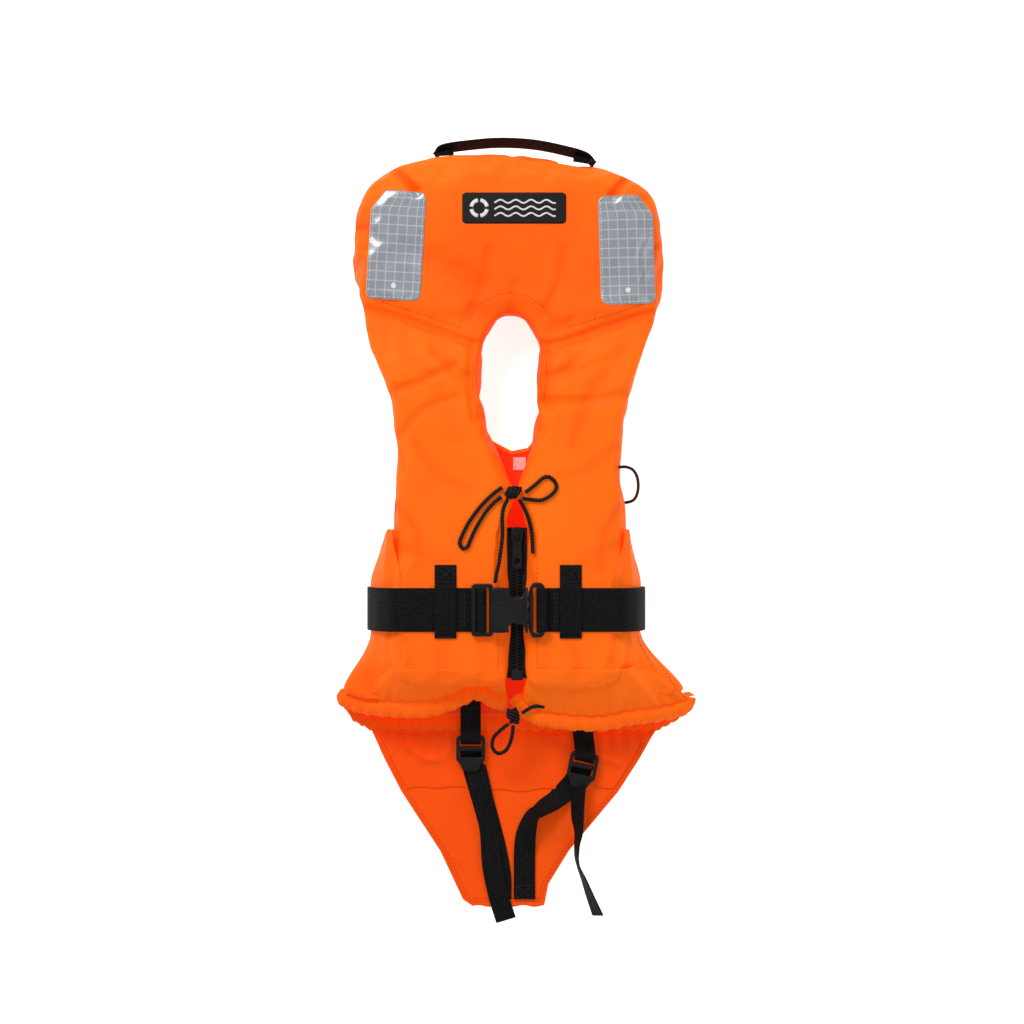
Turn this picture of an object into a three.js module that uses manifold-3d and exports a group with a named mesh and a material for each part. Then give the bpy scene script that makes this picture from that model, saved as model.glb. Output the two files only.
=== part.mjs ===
// Child's foam life jacket lying on its back, millimetres, +Z up.
// +Y runs from the hem to the collar, +X to the right of someone looking down on the jacket.
// The origin is on the belt's centre line, on the face that the jacket lies on.
import * as THREE from "three";
import { mergeVertices } from "three/addons/utils/BufferGeometryUtils.js";
import Module from "manifold-3d";

const wasm = await Module();
wasm.setup();

// ---- driving dimensions ----
const GAP = 0.3; // air between neighbours
const FABRIC = 2; // wall of a foam cover
const FOAM_PLAY = 0.5; // air between a cover and its foam
const SEAM_SLIT = 60; // length of the turning slit in a cover
const EDGE_IN = 12; // how far a pillow's rim pulls in
const EDGE_DROP = 16; // how much of its height the rim takes

const BACK_T = 5; // back panel
const BODY_SPACE = 7; // flat body space between back and front
const FRONT_T = 54; // front foam panels
const COLLAR_T = 54; // collar
const FRONT_Z = BACK_T + BODY_SPACE;
const FRONT_TOP = FRONT_Z + FRONT_T;

const LEFT_EDGE = -113; // outer edge of the left front panel
const RIGHT_EDGE = 107; // outer edge of the right front panel
const FRONT_BOTTOM = -66; // lower edge of both front panels
const ZIP_X = 4.6; // centre line of the zip
const ZIP_HALF = 9.2; // half of the slot between the front panels
const ZIP_TOP = 78;
const ZIP_Z = 47; // underside of the zip tape
const TAPE_T = 1.5;
const TOOTH_T = 2.6;
const TOOTH_PITCH = 6;

const BELT_W = 40;
const BELT_T = 1.5;
const BELT_Y = 1; // the belt's own centre
const KEEPER_W = 20;
const STRAP_W = 20; // crotch straps
const STRAP_T = 1.5;
const CORD_D = 3.5; // neck and hem drawcords
const LANYARD_D = 2.8;

const PATCH_W = 50; // reflective patch
const PATCH_L = 100;
const PATCH_T = 1;
const LABEL_W = 95;
const LABEL_H = 28.5;

const FLAP_T = 3;
const FLAP_HINGE_Y = -115;
const BACK_HEM_T = 5;
const HEM_Z = 20;
const HEM_T = 18;

const FRONT_TOP_SEAT = FRONT_TOP + GAP;
const COLLAR_SEAT = COLLAR_T + GAP;
const FLAP_SEAT = FLAP_T + GAP;

// ---- finishes ----
const finish = (color, roughness, metalness = 0) => ({ color, roughness, metalness });
const ORANGE = finish(0xff5f1b, 0.75);
const LINING = finish(0xff4522, 0.8);
const FOAM = finish(0xe8e4da, 0.9);
const WEBBING = finish(0x181818, 0.85);
const MOULDED = finish(0x1c1c1e, 0.45);
const SILVER = finish(0xa2a6b1, 0.35);
const LABEL = finish(0x201614, 0.6);
const PAPER = finish(0xf1e8e6, 0.8);
const BRAID = finish(0x141414, 0.9);

const jacket = new THREE.Group();

function add(name, geometry, look) {
  const mesh = new THREE.Mesh(geometry, new THREE.MeshStandardMaterial(look));
  mesh.name = name;
  jacket.add(mesh);
  return mesh;
}

// ---- helpers ----
function solidOf(geometry) {
  const bare = geometry.clone();
  bare.deleteAttribute("normal");
  bare.deleteAttribute("uv");
  const merged = mergeVertices(bare, 1e-4);
  return new wasm.Manifold(new wasm.Mesh({
    numProp: 3,
    vertProperties: new Float32Array(merged.attributes.position.array),
    triVerts: new Uint32Array(merged.index.array),
  }));
}

function geometryOf(solid) {
  const mesh = solid.getMesh();
  const geometry = new THREE.BufferGeometry();
  geometry.setAttribute("position", new THREE.BufferAttribute(new Float32Array(mesh.vertProperties), 3));
  geometry.setIndex(new THREE.BufferAttribute(new Uint32Array(mesh.triVerts), 1));
  return geometry;
}

const cut = (body, ...tools) => geometryOf(tools.reduce((s, t) => s.subtract(solidOf(t)), solidOf(body)));
const join = (body, ...more) => geometryOf(more.reduce((s, t) => s.add(solidOf(t)), solidOf(body)));

function shapeOf(points) {
  return new THREE.Shape(points.map(([x, y]) => new THREE.Vector2(x, y)));
}

// flat plate of an outline in X and Y
function plate(points, z0, z1) {
  const g = new THREE.ExtrudeGeometry(shapeOf(points), { depth: z1 - z0, bevelEnabled: false });
  return g.translate(0, 0, z0);
}

// plate with a rounded rim; inset shrinks it on every side
function pillow(points, z0, z1, inset = 0, rimIn = EDGE_IN, rimDrop = EDGE_DROP, rimSteps = 3) {
  const g = new THREE.ExtrudeGeometry(shapeOf(points), {
    depth: z1 - z0 - 2 * (inset + rimDrop),
    bevelEnabled: true,
    bevelThickness: rimDrop,
    bevelSize: rimIn,
    bevelOffset: -rimIn - inset,
    bevelSegments: rimSteps,
  });
  return g.translate(0, 0, z0 + inset + rimDrop);
}

function block(x0, x1, y0, y1, z0, z1) {
  const g = new THREE.BoxGeometry(x1 - x0, y1 - y0, z1 - z0);
  return g.translate((x0 + x1) / 2, (y0 + y1) / 2, (z0 + z1) / 2);
}

function roundedRect(x0, x1, y0, y1, r, arcSteps = 3) {
  const corners = [[x1 - r, y1 - r, 0], [x0 + r, y1 - r, 1], [x0 + r, y0 + r, 2], [x1 - r, y0 + r, 3]];
  const points = [];
  for (const [cx, cy, quarter] of corners) {
    for (let i = 0; i <= arcSteps; i++) {
      const a = (quarter + i / arcSteps) * Math.PI / 2;
      points.push([cx + r * Math.cos(a), cy + r * Math.sin(a)]);
    }
  }
  return points;
}

// outline of a strip of even width along a centre line
function stripOutline(path, width) {
  const left = [];
  const right = [];
  path.forEach((p, i) => {
    const before = path[Math.max(i - 1, 0)];
    const after = path[Math.min(i + 1, path.length - 1)];
    const unit = (a, b) => {
      const l = Math.hypot(b[0] - a[0], b[1] - a[1]);
      return [(b[0] - a[0]) / l, (b[1] - a[1]) / l];
    };
    const d0 = i > 0 ? unit(before, p) : unit(p, after);
    const d1 = i < path.length - 1 ? unit(p, after) : d0;
    const mid = [d0[0] + d1[0], d0[1] + d1[1]];
    const length = Math.hypot(...mid);
    const n = [-mid[1] / length, mid[0] / length];
    const mitre = width / 2 / Math.max(n[0] * -d0[1] + n[1] * d0[0], 0.5);
    left.push([p[0] + n[0] * mitre, p[1] + n[1] * mitre]);
    right.unshift([p[0] - n[0] * mitre, p[1] - n[1] * mitre]);
  });
  return [...left, ...right];
}

// webbing lying flat: a centre line in X and Y
function flatStrap(path, width, z0, thickness) {
  return plate(stripOutline(path, width), z0, z0 + thickness);
}

// webbing whose centre line is in X and Z, y0 to y1 wide
function beltStrip(path, thickness, y0, y1) {
  const g = new THREE.ExtrudeGeometry(shapeOf(stripOutline(path, thickness)), {
    depth: y1 - y0,
    bevelEnabled: false,
  });
  return g.rotateX(Math.PI / 2).translate(0, y1, 0);
}

// webbing whose centre line is in Y and Z, x0 to x1 wide
function keeperStrip(path, thickness, x0, x1) {
  const g = new THREE.ExtrudeGeometry(shapeOf(stripOutline(path, thickness)), {
    depth: x1 - x0,
    bevelEnabled: false,
  });
  return g.rotateX(Math.PI / 2).rotateZ(Math.PI / 2).translate(x0, 0, 0);
}

function cordTube(points, diameter, steps) {
  const curve = new THREE.CatmullRomCurve3(points.map((p) => new THREE.Vector3(...p)));
  const section = [];
  for (let i = 0; i < 8; i++) {
    const a = i * Math.PI / 4;
    section.push([diameter / 2 * Math.cos(a), diameter / 2 * Math.sin(a)]);
  }
  return new THREE.ExtrudeGeometry(shapeOf(section), { steps, extrudePath: curve });
}

function knot(x, y, z, rx, ry, rz) {
  const g = new THREE.SphereGeometry(1, 10, 8);
  return g.scale(rx, ry, rz).translate(x, y, z);
}

// ---- collar ----
const SEAM_LEFT_OUT = [-136, 278];
const SEAM_LEFT_IN = [-26, 241.5];
const SEAM_RIGHT_OUT = [132, 276];
const SEAM_RIGHT_IN = [24, 241.5];
const COLLAR_TOP = 422;
const NECK_TOP = 271;

const collarOutline = [
  SEAM_LEFT_IN, [-24, 256], [-14, 267], [-1, NECK_TOP], [12, 267], [22, 256], SEAM_RIGHT_IN,
  [81, 258], SEAM_RIGHT_OUT,
  [138, 320], [137, 352], [132, 376], [119, 393], [98, 406], [63, 414.5], [0, COLLAR_TOP],
  [-67, 421], [-98, 414], [-125, 397], [-140, 378], [-145, 345], [-144, 305], SEAM_LEFT_OUT,
  [-98, 267],
];

function padded(name, outline, z0, z1, slitX, slitY) {
  const outer = pillow(outline, z0, z1);
  const hollow = pillow(outline, z0, z1, FABRIC);
  const slit = block(slitX - SEAM_SLIT / 2, slitX + SEAM_SLIT / 2, slitY - 1, slitY + 1, z0 - 1, z0 + FABRIC + 1);
  add(`${name}_cover`, cut(outer, hollow, slit), ORANGE);
  add(`${name}_foam`, pillow(outline, z0, z1, FABRIC + FOAM_PLAY), FOAM);
}
padded("collar", collarOutline, 0, COLLAR_T, 0, 350);

// ---- front panels ----
// the seam edges stay a gap away from the collar
const below = ([x, y]) => [x, y - GAP * 2];
const leftOutline = [
  [LEFT_EDGE + 3, FRONT_BOTTOM + 5], [ZIP_X - ZIP_HALF - 3, FRONT_BOTTOM], [ZIP_X - ZIP_HALF, FRONT_BOTTOM + 18],
  [ZIP_X - ZIP_HALF, ZIP_TOP], [0, 106], [-8, 140], [-19, 160], [-27, 182], [-28.5, 210],
  below(SEAM_LEFT_IN), below([-98, 267]), below(SEAM_LEFT_OUT),
  [-132, 248], [-124, 224], [-116, 196], [LEFT_EDGE + 0.5, 168], [LEFT_EDGE, 83],
];
const rightOutline = [
  [RIGHT_EDGE - 3, FRONT_BOTTOM + 2], [RIGHT_EDGE, 83], [RIGHT_EDGE, 168], [111, 196], [119, 222],
  [126, 248], below(SEAM_RIGHT_OUT), below([81, 258]), below(SEAM_RIGHT_IN),
  [25, 206], [23, 182], [17.5, 160], [14, 140], [4, 106],
  [ZIP_X + ZIP_HALF, ZIP_TOP], [ZIP_X + ZIP_HALF, FRONT_BOTTOM + 18], [ZIP_X + ZIP_HALF + 3, FRONT_BOTTOM],
];
rightOutline.reverse();
leftOutline.reverse();
padded("left_front", leftOutline, FRONT_Z, FRONT_TOP, -60, 60);
padded("right_front", rightOutline, FRONT_Z, FRONT_TOP, 60, 60);

// ---- back panel, sides and hems ----
const SHOULDER_Y = 196;
const BACK_BOTTOM = -98;
function backPanel() {
  const outline = [
    [LEFT_EDGE + 3, BACK_BOTTOM], [RIGHT_EDGE - 3, BACK_BOTTOM], [RIGHT_EDGE - 3, 80], [RIGHT_EDGE - 12, 150],
    [RIGHT_EDGE - 16, SHOULDER_Y], [45, SHOULDER_Y], [30, 166], [16, 150], [0, 147], [-19, 156],
    [-34, 172], [-48, SHOULDER_Y], [LEFT_EDGE + 16, SHOULDER_Y], [LEFT_EDGE + 12, 150], [LEFT_EDGE + 3, 80],
  ];
  const groove = block(LEFT_EDGE - 5, RIGHT_EDGE + 5, BELT_Y - BELT_W / 2 - 1, BELT_Y + BELT_W / 2 + 1,
    -1, 2 * BELT_T + 3 * GAP);
  return cut(plate(outline, 0, BACK_T), groove);
}
add("back_panel", backPanel(), LINING);
for (const [name, x0, x1] of [["left", LEFT_EDGE + 20, -52], ["right", 50, RIGHT_EDGE - 20]]) {
  add(`${name}_shoulder_seam`,
    block(x0, x1, SHOULDER_Y - 22, SHOULDER_Y - 4, BACK_T + GAP, FRONT_Z - GAP), ORANGE);
}

// one side panel: a bowed sheet from the back panel's edge to the front panel's side
const SIDE_TOP = 72;
const SIDE_BOTTOM = -76;
const SIDE_T = 1.6;
const SIDE_REF = 30;
function sidePanel(edge, dir, atTop, atWaist, atHem) {
  const bow = [[0.4, 3.4], [14, 3.4], [24, 9], [28, 19], [24, 30], [12, 36], [1.2, 37]];
  const outline = stripOutline(bow, SIDE_T);
  const height = SIDE_TOP - SIDE_BOTTOM;
  const g = new THREE.ExtrudeGeometry(shapeOf(outline), { depth: height, steps: 7, bevelEnabled: false });
  g.rotateX(Math.PI / 2).translate(0, SIDE_TOP, 0);
  const position = g.attributes.position;
  const waistHalf = BELT_W / 2 + 3;
  for (let i = 0; i < position.count; i++) {
    const y = position.getY(i);
    let out = atWaist;
    if (y > waistHalf) out += (atTop - atWaist) * (y - waistHalf) / (SIDE_TOP - waistHalf);
    if (y < -waistHalf) out += (atHem - atWaist) * (-waistHalf - y) / (-waistHalf - SIDE_BOTTOM);
    position.setX(i, edge + dir * (GAP + position.getX(i) * out / SIDE_REF));
  }
  if (dir < 0) {
    // mirrored triangles are turned round again
    for (let i = 0; i < position.count; i += 3) {
      const a = new THREE.Vector3().fromBufferAttribute(position, i);
      const b = new THREE.Vector3().fromBufferAttribute(position, i + 1);
      position.setXYZ(i, b.x, b.y, b.z);
      position.setXYZ(i + 1, a.x, a.y, a.z);
    }
  }
  return g;
}
add("left_side_panel", sidePanel(LEFT_EDGE, -1, 7, 17, 44), ORANGE);
add("right_side_panel", sidePanel(RIGHT_EDGE, 1, 5, 11.5, 56), ORANGE);

const HEM_RIM = 5;
function frontHem(outline, cornerX, cornerY) {
  const body = pillow(outline, HEM_Z, HEM_Z + HEM_T, 0, HEM_RIM, HEM_RIM, 2);
  const corner = new THREE.CylinderGeometry(8, 8, HEM_Z - BACK_HEM_T + 2, 10);
  corner.rotateX(Math.PI / 2).translate(cornerX, cornerY, (HEM_Z + 4 + BACK_HEM_T + GAP) / 2);
  return join(body, corner);
}
const HEM_TOP_Y = FRONT_BOTTOM - 3;
add("front_hem_left", frontHem([
  [-3, -91], [-3, HEM_TOP_Y], [LEFT_EDGE + 3, HEM_TOP_Y], [LEFT_EDGE - 4, SIDE_BOTTOM - GAP],
  [LEFT_EDGE - 39, SIDE_BOTTOM - GAP - 1], [LEFT_EDGE - 47, -85], [LEFT_EDGE - 40, -90], [LEFT_EDGE - 17, -95],
  [LEFT_EDGE + 14, -97], [-75, -96], [-50, -87], [-36, -80], [-24, -81],
].reverse(), LEFT_EDGE - 37, -86), ORANGE);
add("front_hem_right", frontHem([
  [3, HEM_TOP_Y], [3, -82], [12, -98], [28, -104], [58, -108.5], [RIGHT_EDGE - 25, -109.5], [RIGHT_EDGE - 2, -104],
  [RIGHT_EDGE + 28, -100], [RIGHT_EDGE + 61, -95], [RIGHT_EDGE + 57, -84], [RIGHT_EDGE + 5, SIDE_BOTTOM - GAP - 1],
  [RIGHT_EDGE - 2, HEM_TOP_Y],
], RIGHT_EDGE + 45, -88), ORANGE);
add("back_hem", plate([
  [LEFT_EDGE - 45, -90], [LEFT_EDGE - 37, -103], [LEFT_EDGE - 15, FLAP_HINGE_Y + GAP],
  [RIGHT_EDGE + 25, FLAP_HINGE_Y + GAP], [RIGHT_EDGE + 43, -108], [RIGHT_EDGE + 59, -97],
  [RIGHT_EDGE + 51, -84], [RIGHT_EDGE, -84], [RIGHT_EDGE, BACK_BOTTOM - GAP], [LEFT_EDGE, BACK_BOTTOM - GAP],
  [LEFT_EDGE, -80], [LEFT_EDGE - 37, -80],
], 0, BACK_HEM_T), ORANGE);
add("care_label", block(1, 13, 129, 141, BACK_T + GAP, BACK_T + GAP + 0.6), PAPER);

// ---- seat flap with its straps ----
add("seat_flap", plate([
  [LEFT_EDGE - 15, FLAP_HINGE_Y], [LEFT_EDGE + 11, -171], [-66, -226], [-45, -271], [-36, -276], [28, -278],
  [35, -257], [53, -226], [RIGHT_EDGE - 8, -171], [RIGHT_EDGE + 25, FLAP_HINGE_Y],
], 0, FLAP_T), ORANGE);

function ladderLock() {
  // frame with two slots and a lever tab at its lower end, lying along Y
  const slot = STRAP_W / 2;
  const side = slot + 3.5;
  const outline = [
    [-slot - 2, 15], [slot + 2, 15], [side, 12], [side, -8], [slot, -11], [slot - 3, -18], [3 - slot, -18],
    [-slot, -11], [-side, -8], [-side, 12],
  ];
  const frame = plate(outline, 0, 6);
  const upper = block(-slot, slot, 5, 10.5, -1, 7);
  const lower = block(-slot, slot, -5, 0.5, -1, 7);
  return cut(frame, upper, lower);
}
const LOCK_L = { x: -38.5, y: -133, turn: 0 };
const LOCK_R = { x: 65.5, y: -149, turn: -0.2 };
const STRAP_Z = FLAP_SEAT;
const LOCK_Z = STRAP_Z + STRAP_T + GAP;
for (const [name, at] of [["left", LOCK_L], ["right", LOCK_R]]) {
  const lock = add(`${name}_ladder_lock`, ladderLock(), MOULDED);
  lock.position.set(at.x, at.y, LOCK_Z);
  lock.rotation.z = at.turn;
}
const anchorTop = HEM_Z - GAP - STRAP_T / 2;
add("left_strap_anchor", keeperStrip(
  [[-74, anchorTop], [-86, anchorTop], [-97, 14], [-107.5, BACK_HEM_T + 2.6]],
  STRAP_T, LOCK_L.x - STRAP_W / 2, LOCK_L.x + STRAP_W / 2), WEBBING);
add("right_strap_anchor", keeperStrip(
  [[-84, anchorTop], [-98, anchorTop], [-103, 14], [-108.5, BACK_HEM_T + 2.6]],
  STRAP_T, LOCK_R.x - STRAP_W / 2, LOCK_R.x + STRAP_W / 2), WEBBING);

// the straps lie flat on the flap; the tails lie over them
add("left_crotch_strap", flatStrap(
  [[-38.5, -118], [-35, -148], [-24, -190], [-15, -225], [-STRAP_W / 2 - 0.5, -271]], STRAP_W, STRAP_Z, STRAP_T),
WEBBING);
add("right_crotch_strap", flatStrap(
  [[64, -140], [52, -163], [30, -182], [18, -197], [STRAP_W / 2 + 1.8, -220], [STRAP_W / 2 + 1.8, -271]],
  STRAP_W, STRAP_Z, STRAP_T),
WEBBING);
const TAIL_Z = STRAP_Z + STRAP_T + GAP;
add("left_strap_tail", flatStrap(
  [[-30.5, -154], [-26, -180], [-21, -210], [-18, -245], [-6, -291]], STRAP_W - 2, TAIL_Z, STRAP_T), WEBBING);
add("right_strap_tail", flatStrap(
  [[62, -169.5], [61, -190], [61, -212], [58, -228], [67, -254], [80, -284]], 9, TAIL_Z, STRAP_T), WEBBING);

// ---- trim on the collar ----
function patch(side) {
  const w = PATCH_W / 2;
  const l = PATCH_L / 2;
  const corner = [[-w - 2, l - 18], [-w + 14, l + 2], [-w - 2, l + 2]];
  const tool = side < 0 ? corner : corner.map(([x, y]) => [-x, y]).reverse();
  return cut(plate(roundedRect(-w, w, -l, l, 4, 2), 0, PATCH_T), plate(tool, -1, PATCH_T + 1));
}
for (const [name, side, x, y, turn] of [["left", -1, -106, 334, -0.06], ["right", 1, 105, 330, 0.03]]) {
  const mesh = add(`${name}_reflector`, patch(side), SILVER);
  mesh.position.set(x, y, COLLAR_SEAT);
  mesh.rotation.z = turn;
}
add("label_patch", plate(
  roundedRect(2 - LABEL_W / 2, 2 + LABEL_W / 2, 368 - LABEL_H / 2, 368 + LABEL_H / 2, 3, 2),
  COLLAR_SEAT, COLLAR_SEAT + PATCH_T), LABEL);

// grab handle: tilted webbing arched over the collar's top edge
const HANDLE_W = 18;
const HANDLE_TILT = Math.PI / 3;
const HANDLE_Z = COLLAR_T / 2;
function grabHandle() {
  const path = [[-64, 427], [-40, 429], [-11, 431.5], [20, 429.5], [48, 424], [68, 420.5]];
  const curve = new THREE.CatmullRomCurve3(path.map(([x, y]) => new THREE.Vector3(x, y, HANDLE_Z)));
  const c = Math.cos(HANDLE_TILT);
  const s = Math.sin(HANDLE_TILT);
  const w = HANDLE_W / 2;
  const t = STRAP_T / 2;
  const section = [[-w, -t], [w, -t], [w, t], [-w, t]].map(([a, b]) => [a * s + b * c, b * s - a * c]);
  return new THREE.ExtrudeGeometry(shapeOf(section), { steps: 14, extrudePath: curve });
}
add("grab_handle", grabHandle(), WEBBING);

// ---- zip ----
const ZIP_BOTTOM = -62;
const tapeIn = 0.4;
add("zip_tape_left", block(ZIP_X - ZIP_HALF + GAP, ZIP_X - tapeIn, ZIP_BOTTOM, ZIP_TOP - 2, ZIP_Z, ZIP_Z + TAPE_T),
  WEBBING);
add("zip_tape_right", block(ZIP_X + tapeIn, ZIP_X + ZIP_HALF - GAP, ZIP_BOTTOM, ZIP_TOP - 2, ZIP_Z, ZIP_Z + TAPE_T),
  WEBBING);
const TOOTH_Z = ZIP_Z + TAPE_T + GAP;
const TEETH_Y = ZIP_BOTTOM + 8;
const TOOTH_COUNT = Math.floor((ZIP_TOP - TEETH_Y) / TOOTH_PITCH);
const TOOTH_REACH = 1.6; // past the centre line
const TOOTH_W = 2.5;
const RAIL_OUT = 3.8;
const RAIL_IN = 2.2;
function toothRow(side, phase) {
  const top = TEETH_Y + TOOTH_COUNT * TOOTH_PITCH;
  const points = [[RAIL_OUT, top], [RAIL_OUT, TEETH_Y]];
  for (let i = 0; i < TOOTH_COUNT; i++) {
    const y = TEETH_Y + i * TOOTH_PITCH + phase;
    points.push([RAIL_IN, y], [-TOOTH_REACH, y], [-TOOTH_REACH, y + TOOTH_W], [RAIL_IN, y + TOOTH_W]);
  }
  points.push([RAIL_IN, top]);
  return plate(points.map(([x, y]) => [ZIP_X + side * x, y]), TOOTH_Z, TOOTH_Z + TOOTH_T);
}
add("zip_teeth_left", toothRow(-1, 0.4), MOULDED);
add("zip_teeth_right", toothRow(1, 3.4), MOULDED);
add("zip_box", block(ZIP_X - 5.5, ZIP_X + 5.5, ZIP_BOTTOM - 2, ZIP_BOTTOM + 7.6, TOOTH_Z, TOOTH_Z + TOOTH_T + 1),
  MOULDED);

const SLIDER_Y = ZIP_TOP - 9;
const SLIDER_Z = TOOTH_Z + TOOTH_T + GAP;
function zipSlider() {
  const shell = plate([[-5.4, 6], [-5.8, 2], [-4.6, -7], [4.6, -7], [5.8, 2], [5.4, 6], [2.5, 7.5], [-2.5, 7.5]],
    SLIDER_Z, SLIDER_Z + 2);
  const leftWall = block(-5.6, -4.2, -5, 4, SLIDER_Z - 1.4, SLIDER_Z + 1);
  const rightWall = block(4.2, 5.6, -5, 4, SLIDER_Z - 1.4, SLIDER_Z + 1);
  const crown = block(-1, 1, -4.2, 5, SLIDER_Z + 1, SLIDER_Z + 5.6);
  const eye = block(-2, 2, -3, 3.4, SLIDER_Z + 2, SLIDER_Z + 4.6);
  const body = solidOf(shell).add(solidOf(leftWall)).add(solidOf(rightWall)).add(solidOf(crown));
  return geometryOf(body.subtract(solidOf(eye))).translate(ZIP_X, SLIDER_Y, 0);
}
add("zip_slider", zipSlider(), MOULDED);
const PULL_Z = SLIDER_Z + 2 + GAP;
function zipPull() {
  const outline = [[-3.2, 2.6], [3.2, 2.6], [4, -2], [4.5, -26], [3.4, -30], [-3.4, -30], [-4.5, -26], [-4, -2]];
  const hole = block(-2, 2, -4.9, 1.2, -1, 3);
  return cut(plate(outline, 0, 1.7), hole).translate(ZIP_X, SLIDER_Y - 1, PULL_Z);
}
add("zip_pull", zipPull(), MOULDED);

// ---- belt, keepers and buckle ----
const beltTopZ = FRONT_TOP_SEAT + BELT_T / 2;
const beltBackZ = BELT_T / 2;
const beltY0 = BELT_Y - BELT_W / 2;
const beltY1 = BELT_Y + BELT_W / 2;
const BUCKLE_LEFT = -37;
const BUCKLE_RIGHT = 30;
add("belt_left", beltStrip([
  [20, beltBackZ], [LEFT_EDGE - 10, beltBackZ], [LEFT_EDGE - 18, 4.5], [LEFT_EDGE - 21, 14],
  [LEFT_EDGE - 18.5, 34], [LEFT_EDGE - 9, FRONT_TOP - 12], [LEFT_EDGE + 3, beltTopZ - 0.65],
  [LEFT_EDGE + 11, beltTopZ], [BUCKLE_LEFT - GAP, beltTopZ],
], BELT_T, beltY0, beltY1), WEBBING);
add("belt_right", beltStrip([
  [2, beltBackZ + BELT_T + GAP], [24, beltBackZ + BELT_T + GAP], [34, beltBackZ], [RIGHT_EDGE + 7.5, beltBackZ],
  [RIGHT_EDGE + 14, 4.5], [RIGHT_EDGE + 16.2, 14], [RIGHT_EDGE + 14.5, 34], [RIGHT_EDGE + 7.5, FRONT_TOP - 12],
  [RIGHT_EDGE - 3.5, beltTopZ - 0.65], [RIGHT_EDGE - 12, beltTopZ], [BUCKLE_RIGHT + GAP, beltTopZ],
], BELT_T, beltY0, beltY1), WEBBING);
const keeperLow = beltTopZ;
const keeperHigh = keeperLow + BELT_T + 2 * GAP;
for (const [name, x] of [["left", -60.5], ["right", 53.5]]) {
  add(`${name}_belt_keeper`, keeperStrip([
    [beltY0 - 6, keeperLow], [beltY0 - 3.2, keeperLow], [beltY0 - 1.2, keeperHigh], [beltY1 + 1.2, keeperHigh],
    [beltY1 + 3.2, keeperLow], [beltY1 + 21, keeperLow],
  ], BELT_T, x - KEEPER_W / 2, x + KEEPER_W / 2), WEBBING);
}

const BUCKLE_T = 12;
const BUCKLE_Z = FRONT_TOP_SEAT;
const BUCKLE_HALF = BELT_W / 2 + 0.5;
const MOUTH = { x0: 0, half: BUCKLE_HALF - 5, low: 3, high: 9 };
const PRONG = { reach: 13, y: MOUTH.half - 3, w: 5 };
const HOUSING_RIGHT = 14.5;
function buckleHousing() {
  const y = BELT_Y;
  const adjuster = plate(roundedRect(BUCKLE_LEFT, -17, y - BUCKLE_HALF - 3.5, y + BUCKLE_HALF + 3.5, 4),
    BUCKLE_Z, BUCKLE_Z + 6);
  const shell = plate(roundedRect(-19, HOUSING_RIGHT, y - BUCKLE_HALF, y + BUCKLE_HALF, 4),
    BUCKLE_Z, BUCKLE_Z + BUCKLE_T);
  let body = solidOf(adjuster).add(solidOf(shell));
  const tools = [
    block(BUCKLE_LEFT + 4, BUCKLE_LEFT + 8, y - BUCKLE_HALF, y + BUCKLE_HALF, BUCKLE_Z - 1, BUCKLE_Z + 8),
    block(BUCKLE_LEFT + 12, BUCKLE_LEFT + 16, y - BUCKLE_HALF, y + BUCKLE_HALF, BUCKLE_Z - 1, BUCKLE_Z + 8),
    block(MOUTH.x0, HOUSING_RIGHT + 1, y - MOUTH.half, y + MOUTH.half, BUCKLE_Z + MOUTH.low, BUCKLE_Z + MOUTH.high),
  ];
  for (const side of [-1, 1]) {
    const notchY = y + side * (BUCKLE_HALF + 0.5);
    tools.push(plate(roundedRect(-4, 12, notchY - 6.5, notchY + 6.5, 4), BUCKLE_Z - 1, BUCKLE_Z + BUCKLE_T + 1));
  }
  for (const tool of tools) body = body.subtract(solidOf(tool));
  return geometryOf(body);
}
add("buckle_housing", buckleHousing(), MOULDED);
function buckleTongue() {
  const y = BELT_Y;
  const x0 = HOUSING_RIGHT + GAP;
  const frame = plate(roundedRect(x0, BUCKLE_RIGHT, y - BUCKLE_HALF - 4.5, y + BUCKLE_HALF + 4.5, 4),
    BUCKLE_Z + 1, BUCKLE_Z + 8.4);
  let body = solidOf(frame);
  for (const side of [-1, 1]) {
    const py = y + side * PRONG.y - side * PRONG.w / 2;
    body = body.add(solidOf(block(x0 - PRONG.reach, x0 + 2, py - PRONG.w / 2, py + PRONG.w / 2,
      BUCKLE_Z + MOUTH.low + GAP, BUCKLE_Z + MOUTH.high - GAP - 0.4)));
  }
  body = body.subtract(solidOf(block(x0 + 5, x0 + 9.5, y - BUCKLE_HALF, y + BUCKLE_HALF,
    BUCKLE_Z - 1, BUCKLE_Z + 10)));
  return geometryOf(body);
}
add("buckle_tongue", buckleTongue(), MOULDED);

// ---- drawcords ----
const ON_FRONT = FRONT_TOP_SEAT + CORD_D / 2;
add("neck_knot", knot(1, 108, ON_FRONT + 0.6, 9.5, 6.5, 4.2), BRAID);
add("neck_loop_right", cordTube([
  [12, 108, ON_FRONT + 1], [20, 114, ON_FRONT], [30, 122, ON_FRONT], [37, 120, ON_FRONT], [40.5, 113, ON_FRONT],
  [36, 106, ON_FRONT], [27, 101, ON_FRONT], [17, 101.5, ON_FRONT], [9.5, 102.6, ON_FRONT + 0.6],
], CORD_D, 24), BRAID);
add("neck_loop_left", cordTube([
  [-9, 112.6, ON_FRONT + 1], [-18, 106, ON_FRONT], [-28, 96, ON_FRONT], [-38, 82, ON_FRONT], [-45.5, 67, ON_FRONT],
  [-46.5, 60, ON_FRONT], [-42.5, 57.6, ON_FRONT], [-39, 62, ON_FRONT], [-33, 76, ON_FRONT], [-24, 90, ON_FRONT],
  [-16, 99, ON_FRONT], [-9.6, 104, ON_FRONT + 0.6],
], CORD_D, 36), BRAID);
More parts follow.
